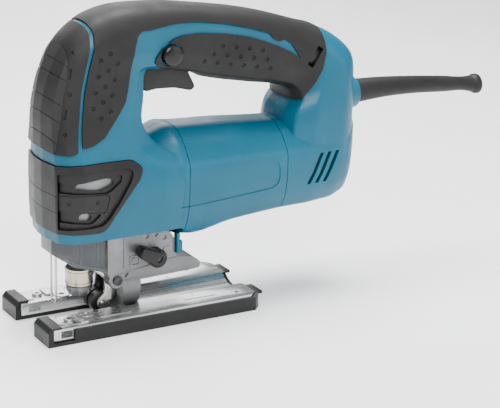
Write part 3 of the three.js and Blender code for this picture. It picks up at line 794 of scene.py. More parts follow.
# Left and right shell, and the motor housing between the seams.
shellForm = {
    "seams": (102, 177),
    "seamGap": 0.45,
    "wall": 2.2,
    "noseWindow": [(0, 69), (42, 67.5), (46, 70), (68, 101), (70, 108), (63, 113.5), (0, 113.5)],
    "windowCorner": 5,
    "vents": (193, 199.4, 205.8),
    "ventWidth": 3,
    "ventLow": 79.5,
    "ventHigh": 100.5,
    "ventLean": 9.5,
    "screws": [(72, 183), (180, 171), (218, 152), (226, 96)],
    "screwHole": 4,
    "labelOutline": [(86, 76.5), (167, 81), (171, 85), (171, 96.5), (166, 100.8), (96, 98)],
    "labelDepth": 0.5,
    "cordHeight": 131.5,
    "cordHole": 9.2,
    "cordBoss": [
        (0, 228), (13.2, 228), (13.2, 234), (12.2, 238), (10.8, 245.2), (10, 246), (0, 246),
    ],
    # where the gear housing comes out below
    "gearRoom": [(50, 40), (50, 64.2), (86, 62.6), (95, 60), (99.7, 52), (99.7, 40)],
    # where the black sheet of painted shade behind the vents stands
    "shadeSheetY": 24,
    "motorWall": 2.8,
    # half width of the black lips of painted shade in the seams
    "shadeLipHalf": 2.4,
}
# openings that the shells and the main grip share
sharedRooms = {
    "trigger": (79.4, 119, -10, 10, 140, 171),
    "button": (95, 176),
    "dial": (200.8, -11.5, 165),
    "dialLean": math.radians(33.8),
}
wideY = 60  # well past both sides


def windowPrism(inset):
    # the window's sides move in by the inset; its front runs off the nose
    moved = []
    for x, z in shellForm["noseWindow"]:
        shiftX = -inset if x > 41 else 0
        shiftZ = inset if z < 71 else -inset if z > 110 else 0
        moved.append((x + shiftX, z + shiftZ))
    corner = max(shellForm["windowCorner"] - inset, 0.5)
    return prism(moved, -wideY, wideY, corner=corner)


def ventPrism(x):
    low, high, lean = shellForm["ventLow"], shellForm["ventHigh"], shellForm["ventLean"]
    wide = shellForm["ventWidth"]
    points = [(x, low), (x + wide, low), (x + wide + lean, high), (x + lean, high)]
    return prism(points, -wideY, wideY, corner=0.7)


def dialSlot(halfWidth, halfLength):
    slot = block(-halfWidth, halfWidth, -30, 0, -halfLength, halfLength)
    dialX, _, dialZ = sharedRooms["dial"]
    turn = Matrix.Rotation(sharedRooms["dialLean"], 4, "Y")
    slot.data.transform(Matrix.Translation((dialX, 0, dialZ)) @ turn)
    return slot


def screwHoles(target):
    for x, z in shellForm["screws"]:
        carve(target, rod(shellForm["screwHole"], 15, 60, x, z, "y"))


def labelRecess(skin):
    # a shallow panel pressed into both sides of the barrel
    panel = prism(shellForm["labelOutline"], -wideY, wideY, corner=3.6)
    ring = carve(barrelSkin(0.5), barrelSkin(-shellForm["labelDepth"]))
    return carve(skin, within(ring, panel))


print("shells")
shells = loopSkin(0)
weld(shells, barrelSkin(0))
cordHeight = shellForm["cordHeight"]
weld(shells, turned(shellForm["cordBoss"], (0, 0, cordHeight), "x"))
for way in (-1, 1):
    weld(shells, block(99.9, 104.2, way * 17.5 - 2.5, way * 17.5 + 2.5, 42, 60, 0.6))
carve(shells, weld(loopSkin(-shellForm["wall"], 6), barrelSkin(-shellForm["wall"])))
seamFront, seamRear = shellForm["seams"]
carve(
    shells,
    block(seamFront, seamRear, -wideY, wideY, 50.2, 136),
    windowPrism(0),
    block(*sharedRooms["trigger"]),
    rod(7.1, -40, 0, *sharedRooms["button"], "y"),
    rod(shellForm["cordHole"], 200, 260, 0, cordHeight, "x"),
    prism(shellForm["gearRoom"], -18.3, 18.3, corner=4),
    dialSlot(3.4, 10.5),
    *[ventPrism(x) for x in shellForm["vents"]],
)
labelRecess(shells)
screwHoles(shells)
leftShell = copyOf(shells)
within(leftShell, block(-50, 400, -80, -0.15, -20, 260))
rightShell = shells
within(rightShell, block(-50, 400, 0.15, 80, -20, 260))
place(leftShell, "leftShell", "housing", "bluePlastic", "blue_plastic", "left_shell")
place(rightShell, "rightShell", "housing", "bluePlastic", "blue_plastic", "right_shell")

# a black sheet behind the cooling slots: painted shade for the inside of the housing
for sideName, way in (("Left", -1), ("Right", 1)):
    shadeSheetY = way * shellForm["shadeSheetY"]
    shadeSheet = block(189.5, 219, shadeSheetY - 0.5, shadeSheetY + 0.5, 76, 104, 0.2)
    place(shadeSheet, "ventShadeSheet" + sideName, "housing", "blackPlastic", "black_plastic")

print("motor housing")
motor = barrelSkin(0)
carve(motor, barrelSkin(-shellForm["motorWall"]))
gapEach = shellForm["seamGap"]
within(motor, block(seamFront + gapEach, seamRear - gapEach, -wideY, wideY, 30, 136))
labelRecess(motor)
place(motor, "motorHousing", "housing", "bluePlastic", "blue_plastic", "motor_housing")

# a black lip inside each seam, so that no light shows through: painted shade in the seam gaps
for shadeLipName, seamX in (("seamShadeLipFront", seamFront), ("seamShadeLipRear", seamRear)):
    lip = carve(barrelSkin(-2.3), barrelSkin(-3.4))
    shadeLipHalf = shellForm["shadeLipHalf"]
    within(lip, block(seamX - shadeLipHalf, seamX + shadeLipHalf, -wideY, wideY, 30, 136))
    largest(lip)
    place(lip, shadeLipName, "housing", "blackPlastic", "black_plastic")


# Soft grips.
gripForm = {
    "outer": 1.3,
    "inner": -0.7,
    "frontRegion": [
        (-20, 132), (1, 126.5), (12.6, 120.6), (22.7, 119.8), (27, 121.2), (28.4, 134.5), (29.6, 143),
        (31.3, 157.7), (34.2, 170.1), (38.2, 185.5), (39.3, 194.9), (36.5, 202.4), (29, 210), (-20, 210),
    ],
    "tileRegion": [
        (-20, 131), (1, 126.2), (12.6, 121.4), (14.2, 124), (17.2, 139.6), (19.6, 154.2), (22, 164.6),
        (24.3, 177), (24.4, 185.4), (23.4, 191.7), (20.1, 195.7), (-20, 190),
    ],
    "tileRise": 0.45,
    # the top strip, the side panels and the palm panels are one moulding with a long window
    "mainRegion": [
        (33.6, 210), (39.6, 202.2), (42, 194.6), (41, 185.3), (36.7, 169.9), (33.8, 157.5), (31.9, 142.7),
        (30.9, 134.2), (30.2, 123.4), (37.1, 124.2), (46.3, 128.4), (53.2, 136.5), (57.6, 142.1), (62, 148.6),
        (64, 156), (66.6, 170), (69.4, 184.9), (70.9, 190.6), (74, 193.3), (79.5, 193.2), (91, 195), (101.6, 196),
        (115.9, 195.3), (134.1, 192.5), (152.7, 188), (166.8, 183.4), (170, 179.2), (173.3, 177.2),
        (178.4, 178.6), (183.5, 174.6), (190, 165), (182.5, 169.9), (174.8, 173.7), (163.3, 178.4), (152, 182.3),
        (133.4, 186.1), (115.2, 188.1), (102.7, 187.6), (95.6, 185.6), (88.5, 181), (84.4, 175.3), (84, 170.6),
        (88.6, 167.4), (94, 165.8), (112, 162), (119.5, 158.6), (124, 154), (150, 149.6), (168, 147.6),
        (170.2, 143.4), (172.7, 138.1), (179.5, 134.4), (184.4, 133.7), (191.1, 136.4), (198.5, 145.5),
        (205.9, 156.7), (208.8, 166.6), (208.6, 176.8), (207.2, 190), (206, 215), (120, 230), (36, 230),
    ],
    # grooves across the front, from the middle of the front back to the side facet's edge
    "grooves": [
        ((17.3, 180.3), (23.7, 174.9)), ((14.4, 171.6), (22.5, 166.1)), ((10.2, 157.1), (20.1, 149.9)),
        ((8.4, 147.2), (16.6, 140.7)), ((8.2, 134.2), (15, 127)),
    ],
    "grooveWidth": 0.5,
    "panelPits": [
        (51.7, 181), (45, 177.4), (56.8, 174.5), (50, 170.7), (43.2, 167.4), (54.7, 164.3), (47.9, 160.8),
        (41.1, 157.4), (52.7, 154.6), (46.1, 150.9), (39.3, 147.5), (51.3, 144.3), (44.5, 140.8),
    ],
    "palmPits": [
        (132, 178.3), (141.9, 176.6), (151.6, 174.9), (161.6, 172.9),
        (125.6, 173.7), (135.4, 171.8), (145.2, 170), (155.1, 168.2), (165, 166.2),
        (119, 169.3), (128.5, 167.4), (138.3, 165.5), (148.1, 163.8), (158, 161.9), (167.9, 160),
    ],
    "frontPits": [(27.6, 183), (23.9, 158), (19.8, 133)],
    "frontBars": [(25.2, 170.4), (20.8, 145.5)],
    "pitRadius": 1.6,
    "pitDepth": 1.15,
    "smallPitRadius": 1.5,
    "palmPitDepth": 1.1,
    "barDepth": 0.8,
}


# A thin sloping slab that parts the pads from one side facet round to the other.
def grooveTool(front, side):
    half = gripForm["grooveWidth"] / 2
    slope = (side[1] - front[1]) / (side[0] - front[0])
    x0, x1 = front[0] - 8, side[0] + 4
    z0, z1 = front[1] - 8 * slope, side[1] + 4 * slope
    return prism([(x0, z0 - half), (x1, z1 - half), (x1, z1 + half), (x0, z0 + half)], -40, 40)


print("grips")
gripSkin = skinBetween(gripForm["outer"], gripForm["inner"])
frontGrip = copyOf(gripSkin)
within(frontGrip, prism(gripForm["frontRegion"], -wideY, wideY, corner=1.5))
largest(frontGrip)
pits(frontGrip, gripForm["frontPits"], gripForm["smallPitRadius"], gripForm["pitDepth"])
for x, z in gripForm["frontBars"]:
    bar = skinBetween(3, gripForm["outer"] - gripForm["barDepth"])
    low, high = z - 3.2, z + 3.2
    within(bar, prism([(x - 1.6, low), (x - 0.1, low), (x + 1.3, high), (x - 0.2, high)], -40, 40))
    carve(frontGrip, bar)
place(frontGrip, "frontGrip", "housing", "softElastomer", "soft_grip", "front_grip")

# the raised pads that face forwards, parted by the grooves
tileOuter = loopSkin(gripForm["outer"] + gripForm["tileRise"], crisp=True)
tiles = carve(tileOuter, loopSkin(gripForm["outer"] - 0.5))
within(tiles, prism(gripForm["tileRegion"], -40, 40, corner=1))
largest(tiles)
for front, side in gripForm["grooves"]:
    carve(tiles, grooveTool(front, side))
place(tiles, "frontTiles", "housing", "tileElastomer", "soft_grip", angle=14)

mainGrip = gripSkin
within(mainGrip, prism(gripForm["mainRegion"], -wideY, wideY, corner=1.2))
largest(mainGrip)
carve(mainGrip, rod(8, -wideY, 0, *sharedRooms["button"], "y", 40), dialSlot(2.3, 7.2))
screwHoles(mainGrip)
carve(mainGrip, block(*sharedRooms["trigger"]))
pits(mainGrip, gripForm["panelPits"], gripForm["pitRadius"], gripForm["pitDepth"])
pits(mainGrip, gripForm["palmPits"], gripForm["smallPitRadius"], gripForm["palmPitDepth"])
place(
    mainGrip, "mainGrip", "housing", "softElastomer", "soft_grip",
    "side_grip_left", "side_grip_right", "palm_grip_left", "palm_grip_right",
)


# Nose frame and tool opener.
frameForm = {
    "outer": 1.1,
    "recess": 2.2,
    "upperSlot": [
        (14.6, 95.4), (46.1, 92.6), (50, 94.6), (56.4, 100.2),
        (55.8, 104.4), (52.5, 104.6), (23.2, 101.2), (14.6, 102.6),
    ],
    "lowerSlot": [(14.6, 76.2), (34.4, 74), (37.2, 75), (42.2, 79.2), (39.6, 80.6), (14.6, 84)],
    "upperGap": [(25, 97.4), (42, 94.6), (50.5, 97.6), (51.5, 101), (46, 102.6), (26, 100.6)],
    "lowerGap": [(27, 76.4), (33.6, 75.4), (36.4, 78), (34, 81), (28, 81)],
    # the sunk field inside the border starts behind the front corner
    "field": [
        (14, 71.5), (34.1, 71.7), (42.2, 72.2), (46.9, 75.9), (53.9, 86),
        (62, 100.4), (63.2, 105.7), (60.9, 108.2), (53.9, 109.1), (14, 108.4),
    ],
    "openerBand": [
        (-5, 84.4), (38.6, 81.4), (44, 80.6), (46, 83), (47.6, 90), (46, 92), (-5, 94.6),
    ],
    "openerRoom": [
        (-5, 84.1), (38.6, 81.1), (44.2, 80.2), (46.4, 82.8), (48.1, 90), (46.3, 92.4), (-5, 94.9),
    ],
    "openerPits": [(20.5, 88.6), (39.5, 87.6)],
}

print("nose frame")
def frameSlots(target):
    for slotName in ("upperSlot", "lowerSlot"):
        carve(target, prism(frameForm[slotName], -wideY, wideY, corner=2))


noseFrame = skinBetween(frameForm["outer"], -shellForm["wall"])
opener = copyOf(noseFrame)
within(noseFrame, windowPrism(0.35))
field = skinBetween(3, frameForm["outer"] - frameForm["recess"])
within(field, prism(frameForm["field"], -wideY, wideY, corner=1.6))
carve(noseFrame, field, keep=True)
frameSlots(noseFrame)
carve(noseFrame, prism(frameForm["openerRoom"], -wideY, 24.2))
largest(noseFrame)
place(noseFrame, "noseFrame", "housing", "blackPlastic", "black_plastic", "nose_frame")

within(opener, prism(frameForm["openerBand"], -wideY, 21, corner=1))
carve(opener, field)
frameSlots(opener)
largest(opener)
pits(opener, frameForm["openerPits"], 1.5, 0.8, (-1,))
place(opener, "toolOpener", "opener", "blackPlastic", "black_plastic", "tool_opener")

# a black lining behind the slots, painted shade for the inside of the nose, open where the gear housing shows
slotShadeLining = skinBetween(-2.7, -3.7, 6)
within(slotShadeLining, block(14, 61, -wideY, wideY, 72, 107))
carve(slotShadeLining, prism(frameForm["upperGap"], -wideY, wideY, corner=2.4))
carve(slotShadeLining, prism(frameForm["lowerGap"], -wideY, wideY, corner=1.8))
carve(slotShadeLining, block(8, 21, 13, 40, 60, 120))  # room for the opener's hinge
largest(slotShadeLining)
place(slotShadeLining, "slotShadeLining", "housing", "blackPlastic", "black_plastic")


# Cord guard.
guardForm = {
    # x, z, radius along the guard, straight out of the boss and sagging towards its end
    "path": [
        (226, 131.5, 8.6), (246, 131.8, 8.4), (270, 132.2, 7.2), (294, 131.2, 6.3),
        (320, 129.1, 5.8), (344, 126.8, 5.6), (346.5, 126.5, 6.1), (347.8, 126.4, 6.8),
        (350.6, 126.1, 7.1), (352, 126, 6.7), (352.6, 126, 5.9),
    ],
    "bore": 4,
    "boreMiddle": 289,
    "boreReach": 4 / 63,  # how much longer than the guard the bore is, to both ends
    "sides": 40,
}

print("cord guard")
def guardRing(x, z, radius):
    turns = circle(guardForm["sides"])
    return [Vector((x, radius * math.cos(a), z + radius * math.sin(a))) for a in turns]


rows = guardForm["path"]
guardRings, boreRings = [], []
for x, z, radius in between(rows, [row[0] for row in rows], 5):
    guardRings.append(guardRing(x, z, radius))
    shift = guardForm["boreReach"] * (x - guardForm["boreMiddle"])
    boreRings.append(guardRing(x + shift, z, guardForm["bore"]))
cordGuard = carve(skinOver(guardRings), skinOver(boreRings))
place(cordGuard, "cordGuard", "housing", "softElastomer", "soft_grip", "cord_guard")


# Trigger, lock button and speed dial.
controlForm = {
    "trigger": [
        (80, 169.5), (79.9, 153), (82.5, 150.5), (90, 151.6), (103, 151),
        (115.5, 147.8), (118.4, 150.5), (113.5, 160), (112, 166.5), (100, 169.5),
    ],
    "button": [
        (0, -24), (4, -23.9), (5.6, -23.6), (6.5, -23), (6.8, -22.2),
        (6.8, -15), (2.4, -15), (2.4, -14), (0, -14),
    ],
    "knurls": 30,
    "knurlHeight": 0.42,
    "dialRadius": 9.55,
    "dialWidth": 4.4,
}

print("controls")
trigger = prism(controlForm["trigger"], -9, 9, corner=1.6, bevel=2, segments=4)
place(trigger, "trigger", "trigger", "blackPlastic", "black_plastic", "trigger")

buttonX, buttonZ = sharedRooms["button"]
button = turned(controlForm["button"], (buttonX, 0, buttonZ), "y")
place(button, "lockButton", "lock_button", "glossyBlack", "black_plastic", "lock_button")

dialMesh = bmesh.new()
dialRadius = controlForm["dialRadius"]
bmesh.ops.create_cone(
    dialMesh, cap_ends=True, segments=controlForm["knurls"] * 2,
    radius1=dialRadius, radius2=dialRadius, depth=controlForm["dialWidth"],
)
rim = [f for f in dialMesh.faces if abs(f.normal.z) < 0.5]
rim.sort(key=lambda f: math.atan2(f.calc_center_median().y, f.calc_center_median().x))
knurls = bmesh.ops.extrude_discrete_faces(dialMesh, faces=rim[::2])["faces"]
for face in knurls:
    height = face.normal * controlForm["knurlHeight"]
    bmesh.ops.translate(dialMesh, verts=face.verts[:], vec=height)
lean = Matrix.Rotation(sharedRooms["dialLean"], 4, "Y") @ Matrix.Rotation(math.pi / 2, 4, "Y")
bmesh.ops.transform(dialMesh, matrix=lean, verts=dialMesh.verts)
bmesh.ops.translate(dialMesh, verts=dialMesh.verts, vec=sharedRooms["dial"])
dial = asObject(dialMesh)
place(dial, "speedDial", "speed_dial", "blackPlastic", "black_plastic", "speed_dial")


# Screws, heads on the right side.
screwForm = {
    "profile": [
        (0, -12), (1.2, -12), (1.9, -10.5), (1.9, 15.3), (3.6, 15.3),
        (3.6, 17), (3, 17.8), (2, 18), (0, 18),
    ],
    "socket": 1.5,
}

for i, (x, z) in enumerate(shellForm["screws"], 1):
    screw = turned(screwForm["profile"], (x, 0, z), "y", 24)
    socket = screwForm["socket"]
    corners = [(x + socket * math.cos(a), z + socket * math.sin(a)) for a in circle(6)]
    carve(screw, prism(corners, 16.4, 19))
    place(screw, f"shellScrew{i}", "housing", "darkSteel", "dark_steel", f"shell_screw_{i}")


# Dust cover.
coverForm = {
    "plan": [(50.5, -16.5), (21, -16.5), (15.6, -8.5), (15.6, 8.5), (21, 16.5), (50.5, 16.5)],
    "inner": [(80, -14.9), (21.8, -14.9), (17.2, -7.8), (17.2, 7.8), (21.8, 14.9), (80, 14.9)],
    "side": [(0, 72), (0, 54), (14.5, 51.5), (30, 42), (48.5, 36), (60, 36), (60, 72)],
    "lip": [
        (21.5, 47.4), (30, 42.2), (48.5, 36.2), (50.2, 36.2),
        (50.2, 37.6), (48.8, 37.6), (30.5, 43.6), (21.5, 49),
    ],
    "ribs": [(32, 43.4), (43.5, 39.6)],
}

print("dust cover")
cover = prism(coverForm["plan"], 30, 72, "xy", corner=0.8)
carve(cover, prism(coverForm["inner"], 20, 80, "xy", corner=0.6))
within(cover, prism(coverForm["side"], -40, 40, corner=1.5))
for way in (-1, 1):
    # a lip along the lower edge and two upright ribs
    lip = prism(coverForm["lip"], way * 16.5 - 0.5, way * 16.5 + 0.5, corner=0.5)
    weld(cover, lip)
    for x, low in coverForm["ribs"]:
        weld(cover, block(x, x + 1.1, way * 16.6 - 0.5, way * 16.6 + 0.5, low, 64, 0.2))
place(cover, "dustCover", "cover", "smokedClear", "smoked_clear", "dust_cover")


# Gear housing and the retainer's pin.
gearForm = {
    "sidePlate": [
        (54.7, 26.9), (50.8, 34), (50.8, 66), (71, 66), (71, 61.7), (86, 61.5), (95, 58.6),
        (99.4, 52), (99.4, 41), (104, 38.5), (118, 34.5), (119, 29.5), (113, 28.5),
    ],
    "floorFront": [(17.9, -7), (17.9, 7), (23.5, 13.8), (52, 13.8), (52, -13.8), (23.5, -13.8)],
    "floorBack": [(51.5, -24.5), (51.5, 24.5), (71, 23.6), (71, -23.6)],
    "drillings": [(78.6, 56.8), (85.2, 57.3), (91.2, 54)],
    "hooks": [(65, 27.2), (87, 30.4), (106, 28.2)],
    "beam": [(56, 28.2), (57, 33.6), (100, 39.6), (112, 38), (117.4, 33.6), (113.6, 29.6)],
    "castMark": [(63.5, 30.5), (66, 33.8), (63.2, 34.2), (62.3, 31)],
    "seamX": 62,
    "pin": (57.7, 29.4),
    "pivot": (84, 42.5),
    "stroke": 38.5,
}
pinProfile = [
    (0, -19.8), (2.2, -19.8), (3.2, -19.2), (3.4, -18.3), (2.3, -18.3), (2.3, 17.5), (0, 17.5),
]

print("gear housing")
px, pz = gearForm["pin"]
lx, lz = gearForm["pivot"]
gearCase = prism(gearForm["sidePlate"], -18, 18, corner=2.2, bevel=0.8)
walls = skinBetween(-5, -7.6, 6)
within(walls, block(0, 71.5, -60, 60, 63.5, 114))
carve(walls, block(0, 51.7, -17.2, 17.2, 50, 73), block(57.5, 80, -60, 60, 95, 140))
weld(gearCase, walls)
weld(gearCase, prism(gearForm["floorFront"], 63.5, 67, "xy"))
weld(gearCase, prism(gearForm["floorBack"], 63.5, 67, "xy"))
weld(gearCase, rod(6, -18, 18, px, pz, "y", 40, 0.7))
weld(gearCase, rod(18.2, 61, 75, 0, 22.5, "x", 96, 0.8))
# the rounded beam along the lower edge of both side faces
for way in (-1, 1):
    beam = prism(gearForm["beam"], way * 18 - 0.5, way * 18 + 0.5, corner=2.2, bevel=0.4)
    weld(gearCase, beam)
    for x, z in gearForm["hooks"]:
        outline = [
            (x, z + 5), (x + 3.4, z + 5), (x + 3.4, z), (x + 0.8, z), (x + 0.8, z + 1.8), (x, z + 1.8),
        ]
        weld(gearCase, prism(outline, way * 17.6 - 0.7, way * 17.6 + 0.7, corner=0.4))
carve(
    gearCase,
    block(40, 64.4, -9.5, 9.5, 15, 41),
    block(40, 51.7, -16.9, 16.9, 20, 60),
    rod(7, 50, 80, gearForm["stroke"], 0),
    rod(2.6, -40, 40, px, pz, "y"),
    rod(2.9, 0, 17, 68, 0),
    rod(3.4, -40, -12, lx, lz, "y"),
    block(66, 97, -13, 13, 32, 57.5),
)
for y in (-3.7, 3.7):
    carve(gearCase, rod(1.6, 50, 80, 20.5, y))
# the parting line of the front column, drillings and small cast marks
for way in (-1, 1):
    seam = gearForm["seamX"]
    carve(gearCase, block(seam - 0.35, seam + 0.35, way * 18.6 - 1.2, way * 18.6 + 1.2, 37, 67))
    near = (way * 18.8 - 1.6, way * 18.8 + 1.6)
    for x, z in gearForm["drillings"]:
        carve(gearCase, rod(1.9, *near, x, z, "y", 24))
    carve(gearCase, prism(gearForm["castMark"], *near, corner=0.8))
    raised = (way * 18.2 - 0.5, way * 18.2 + 0.5)
    square = block(66.6, 73.2, *raised, 38, 44.6, corner=0.8)
    carve(square, block(67.2, 72.6, *near, 38.6, 44, corner=0.6))
    weld(square, rod(2, *raised, 69.9, 41.3, "y"))
    weld(gearCase, square)
    weld(gearCase, block(91, 95.6, way * 18.1 - 0.4, way * 18.1 + 0.4, 43, 47.6, corner=0.5))
place(gearCase, "gearHousing", "housing", "castAluminium", "cast_aluminium", "gear_housing")

pin = turned(pinProfile, (px, 0, pz), "y")
carve(pin, rod(1.5, -21, -19.2, px, pz, "y", 24))
place(pin, "retainerPin", "housing", "darkSteel", "dark_steel", "retainer_pin")


# Blade clamp and its sleeve.
clampForm = {
    "profile": [
        (0, 17.5), (5.2, 17.5), (7, 18.6), (8, 20.4), (8.6, 22.2),
        (8.6, 24.2), (8, 24.7), (6.2, 24.7), (6.2, 41), (0, 41),
    ],
    "sleeve": [
        (6.5, 25), (8.6, 25), (9.25, 25.6), (9.25, 27), (9.05, 27.2), (9.05, 27.6), (9.25, 27.8),
        (9.25, 34.6), (9.05, 34.8), (9.05, 35.2), (9.25, 35.4), (9.25, 36.4), (8.7, 37), (6.5, 37),
    ],
    "notches": 8,
    "notchRing": 8.4,
}

print("blade clamp")
cx = gearForm["stroke"]
clamp = turned(clampForm["profile"], (cx, 0, 0))
for k in range(clampForm["notches"]):
    a = 2 * math.pi * (k + 0.5) / clampForm["notches"]
    notchX, notchY = cx + clampForm["notchRing"] * math.cos(a), clampForm["notchRing"] * math.sin(a)
    carve(clamp, rod(1.1, 16, 21.8, notchX, notchY, "z", 16))
carve(clamp, block(cx - 7, cx + 3.5, -0.9, 0.9, 15, 34))
place(clamp, "bladeClamp", "plunger", "castAluminium", "bright_steel", "blade_clamp")

sleeve = turned(clampForm["sleeve"], (cx, 0, 0), "z", 64)
place(sleeve, "clampSleeve", "sleeve", "champagneNickel", "bright_steel", "clamp_sleeve")


# Guide roller, its retainer and axle.
rollerForm = {
    "middle": (51, 12),
    "arm": [
        (53, 32.5), (61, 33), (62.2, 27), (60.8, 18), (56.5, 9.5),
        (51, 7.5), (47.6, 9.5), (47.6, 14.5), (52.6, 19), (53.2, 26),
    ],
    "roller": [
        (2.3, -6.4), (6.6, -6.4), (7, -6), (7, -1.6), (6.6, -1.3), (4.8, -1.2),
        (4.8, 1.2), (6.6, 1.3), (7, 1.6), (7, 6), (6.6, 6.4), (2.3, 6.4),
    ],
    "axle": [(0, -10), (1.3, -10), (1.8, -9.6), (1.8, 9.6), (1.3, 10), (0, 10)],
}

print("roller")
rx, rz = rollerForm["middle"]
retainer = prism(rollerForm["arm"], -9.2, -7, corner=1.6, bevel=0.35)
weld(retainer, prism(rollerForm["arm"], 7, 9.2, corner=1.6, bevel=0.35))
weld(retainer, rod(4.4, -8, 8, px, pz, "y"))
carve(retainer, rod(2.6, -20, 20, px, pz, "y"), rod(2.1, -20, 20, rx, rz, "y"))
place(retainer, "rollerRetainer", "retainer", "turnedSteel", "bright_steel", "roller_retainer")
roller = turned(rollerForm["roller"], (rx, 0, rz), "y", 56)
place(roller, "guideRoller", "roller", "darkSteel", "dark_steel", "guide_roller")
axle = turned(rollerForm["axle"], (rx, 0, rz), "y")
place(axle, "rollerAxle", "retainer", "turnedSteel", "bright_steel", "roller_axle")


# Orbital action lever.
leverForm = {
    "hub": [(2.7, -25.5), (5.4, -25.5), (6.3, -24.8), (6.3, -18.4), (2.7, -18.4)],
    "reach": 16.1,
    "turn": 0.48,
    "halfAtHub": 5.2,
    "halfAtTip": 3.6,
}

print("orbital lever")
hub = turned(leverForm["hub"], (lx, 0, lz), "y", 40)
leverX, leverZ = -math.cos(leverForm["turn"]), math.sin(leverForm["turn"])
armCorners = []
for along, half in (
    (0, leverForm["halfAtHub"]), (0, -leverForm["halfAtHub"]),
    (leverForm["reach"], -leverForm["halfAtTip"]), (leverForm["reach"], leverForm["halfAtTip"]),
):
    armCorners.append((lx + leverX * along + leverZ * half, lz + leverZ * along - leverX * half))
arm = prism(armCorners, -29.5, -20, corner=2.4, bevel=1.1, segments=3)
weld(hub, arm)
carve(hub, rod(2.7, -40, -10, lx, lz, "y"))
place(hub, "orbitalLever", "orbital_lever", "blackPlastic", "black_plastic", "orbital_lever")


# Wire guard and lamp.
wireForm = {"x": 20.5, "radius": 0.8, "half": 3.7, "low": 14.4, "high": 66.5, "sides": 14, "steps": 24}
lampForm = {
    "place": (27, -9, 0),
    "profile": [(0, 59.5), (1.2, 59.7), (2, 60.4), (2.4, 61.4), (2.4, 63.2), (0, 63.2)],
}

half, low = wireForm["half"], wireForm["low"]
path = [(-half, wireForm["high"])]
for k in range(wireForm["steps"] + 1):
    a = math.pi * k / wireForm["steps"]
    path.append((-half * math.cos(a), low + half * (1 - math.sin(a))))
path.append((half, wireForm["high"]))
wireRings = []
for i, (y, z) in enumerate(path):
    ahead, behind = path[min(i + 1, len(path) - 1)], path[max(i - 1, 0)]
    along = Vector((0, ahead[0] - behind[0], ahead[1] - behind[1])).normalized()
    across = along.cross(Vector((1, 0, 0)))
    ring = []
    for a in circle(wireForm["sides"]):
        outward = math.cos(a) * Vector((1, 0, 0)) + math.sin(a) * across
        ring.append(Vector((wireForm["x"], y, z)) + wireForm["radius"] * outward)
    wireRings.append(ring)
wire = skinOver(wireRings)
place(wire, "wireGuard", "housing", "turnedSteel", "bright_steel", "wire_guard")
lamp = turned(lampForm["profile"], lampForm["place"], "z", 32)
place(lamp, "lampLens", "housing", "lampLens", "lamp_lens", "led_lamp")


# Base casting and the cover under it.
baseForm = {
    "length": 155,
    "half": 38.5,
    "top": 11,
    "sole": 2,
    "fork": 15,
    "forkDepth": 60,
    "corner": 5,
    "troughRadius": 18.5,
    "troughZ": 22.5,
    "holes": [(22, -30), (22, 30), (141, -28), (141, 28)],
    "grooves": [(40, 62, 29.5), (102, 126, 26.5)],
    "boss": (19.5, 25.5),
    "lug": (34.5, 19.8),
    "coverWall": [(0, -36.7), (148.5, -36.7), (153.1, -32.1), (153.1, 32.1), (148.5, 36.7), (0, 36.7)],
    "bumper": [(0, 0), (3.7, 0), (3.7, 11.4), (9.5, 11.4), (9.5, 12.6), (2.6, 12.6), (0, 9.5)],
}
length, halfWide, fork = baseForm["length"], baseForm["half"], baseForm["fork"]
sole, corner = baseForm["sole"], baseForm["corner"]


def basePlan(front, back, half):
    depth = baseForm["forkDepth"]
    return [
        (front, -half), (back - corner, -half), (back, -half + corner),
        (back, half - corner), (back - corner, half), (front, half),
        (front, fork), (depth, fork), (depth, -fork), (front, -fork),
    ]


print("base")
troughTool = rod(baseForm["troughRadius"], -20, 175, 0, baseForm["troughZ"], "x", 120)
boltSlot = block(63.8, 72.2, -17.9, 17.9, -5, 20)
basePlate = prism(basePlan(4, 152.8, 36.4), 2.3, baseForm["top"], "xy", bevel=0.7)
carve(basePlate, troughTool, boltSlot, keep=True)
carve(basePlate, block(9.5, 17.5, -wideY, wideY, 4.2, 9))
for x, y in baseForm["holes"]:
    carve(basePlate, rod(1.6, 0, 30, x, y, "z", 24))
# long shallow grooves and a tick mark in the top face
for way in (-1, 1):
    for x0, x1, y in baseForm["grooves"]:
        y0, y1 = y * way - 1.1, y * way + 1.1
        outline = [(x0, y0), (x1, y0), (x1, y1), (x0, y1)]
        carve(basePlate, prism(outline, 10.4, 12, "xy", corner=1))
    carve(basePlate, block(112, 112.8, way * 18.2 - 1.8, way * 18.2 + 1.8, 10.5, 12))
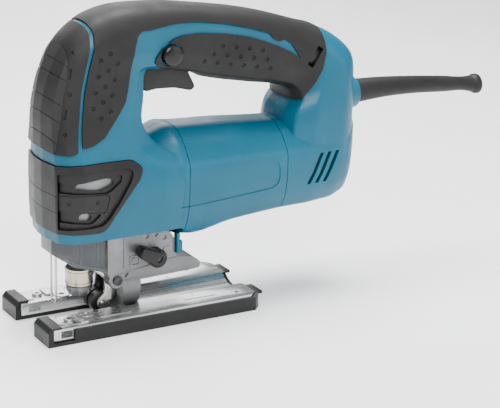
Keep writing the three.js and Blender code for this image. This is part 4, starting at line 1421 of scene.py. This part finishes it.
# bosses, clip pads and rounded lugs on the two prongs
for way in (-1, 1):
    bossX, bossY = baseForm["boss"]
    lugX, lugY = baseForm["lug"]
    weld(basePlate, rod(3.4, 9, 12.6, bossX, way * bossY, "z", 40, 0.5))
    carve(basePlate, rod(1.7, 10.4, 14, bossX, way * bossY, "z", 28))
    weld(basePlate, pad(24.5, 30, 21.5, 33.8, way, 9.5, 12.2, 0.9, 0.3))
    weld(basePlate, pad(10.2, 14.6, 18.5, 31, way, 9.5, 11.9, 0.8, 0.3))
    weld(basePlate, rod(5.6, 9.4, 11.6, lugX, way * lugY, "z", 48, 0.4))
    carve(basePlate, rod(2.1, 10.6, 14, lugX, way * lugY, "z", 28))
place(basePlate, "basePlate", "base", "machinedAluminium", "cast_aluminium", "base_plate")

soleCover = prism(basePlan(0, length, halfWide), 0, sole, "xy")
rimPlan = [
    (18, -halfWide), (length - corner, -halfWide), (length, -halfWide + corner),
    (length, halfWide - corner), (length - corner, halfWide), (18, halfWide),
]
rim = prism(rimPlan, 0, 9.5, "xy", corner=1.5)
weld(soleCover, carve(rim, prism(baseForm["coverWall"], sole, 30, "xy")))
for way, low, high in ((-1, -halfWide, -fork), (1, fork, halfWide)):
    weld(soleCover, prism(baseForm["bumper"], low, high, corner=0.6))
    tab = block(153.5, 160, way * 22.5 - 7.5, way * 22.5 + 7.5, 7.5, 9.5, 0.5)
    weld(soleCover, tab)
carve(soleCover, troughTool, boltSlot, block(-5, baseForm["forkDepth"], -fork, fork, -5, 30))
place(soleCover, "soleCover", "base", "blackPlastic", "black_plastic", "sole_cover")


# CAD nodes that stay get better finishes.
nodeFinishes = {
    "turnedSteel": ["front_bearing", "rear_bearing", "gear_shaft", "armature_shaft", "plunger"],
    "castAluminium": ["bearing_plate", "bush_bracket"],
    "darkSteel": ["lever_pin", "base_clamp_bolt", "crank_gear"],
    "laminatedCore": ["armature_core", "stator_core"],
    "copperWinding": ["field_coil_upper", "field_coil_lower", "commutator"],
    "brass": ["lower_bush", "upper_bush", "brush_holder_left", "brush_holder_right"],
    "carbon": ["brush_left", "brush_right"],
    "blackPlastic": ["fan", "switch_body", "speed_controller"],
}
for finishName, nodeNames in nodeFinishes.items():
    for nodeName in nodeNames:
        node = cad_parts[nodeName]
        for slotIndex in range(len(node.material_slots)):
            node.material_slots[slotIndex].material = finishes[finishName]
print("kept nodes finished")
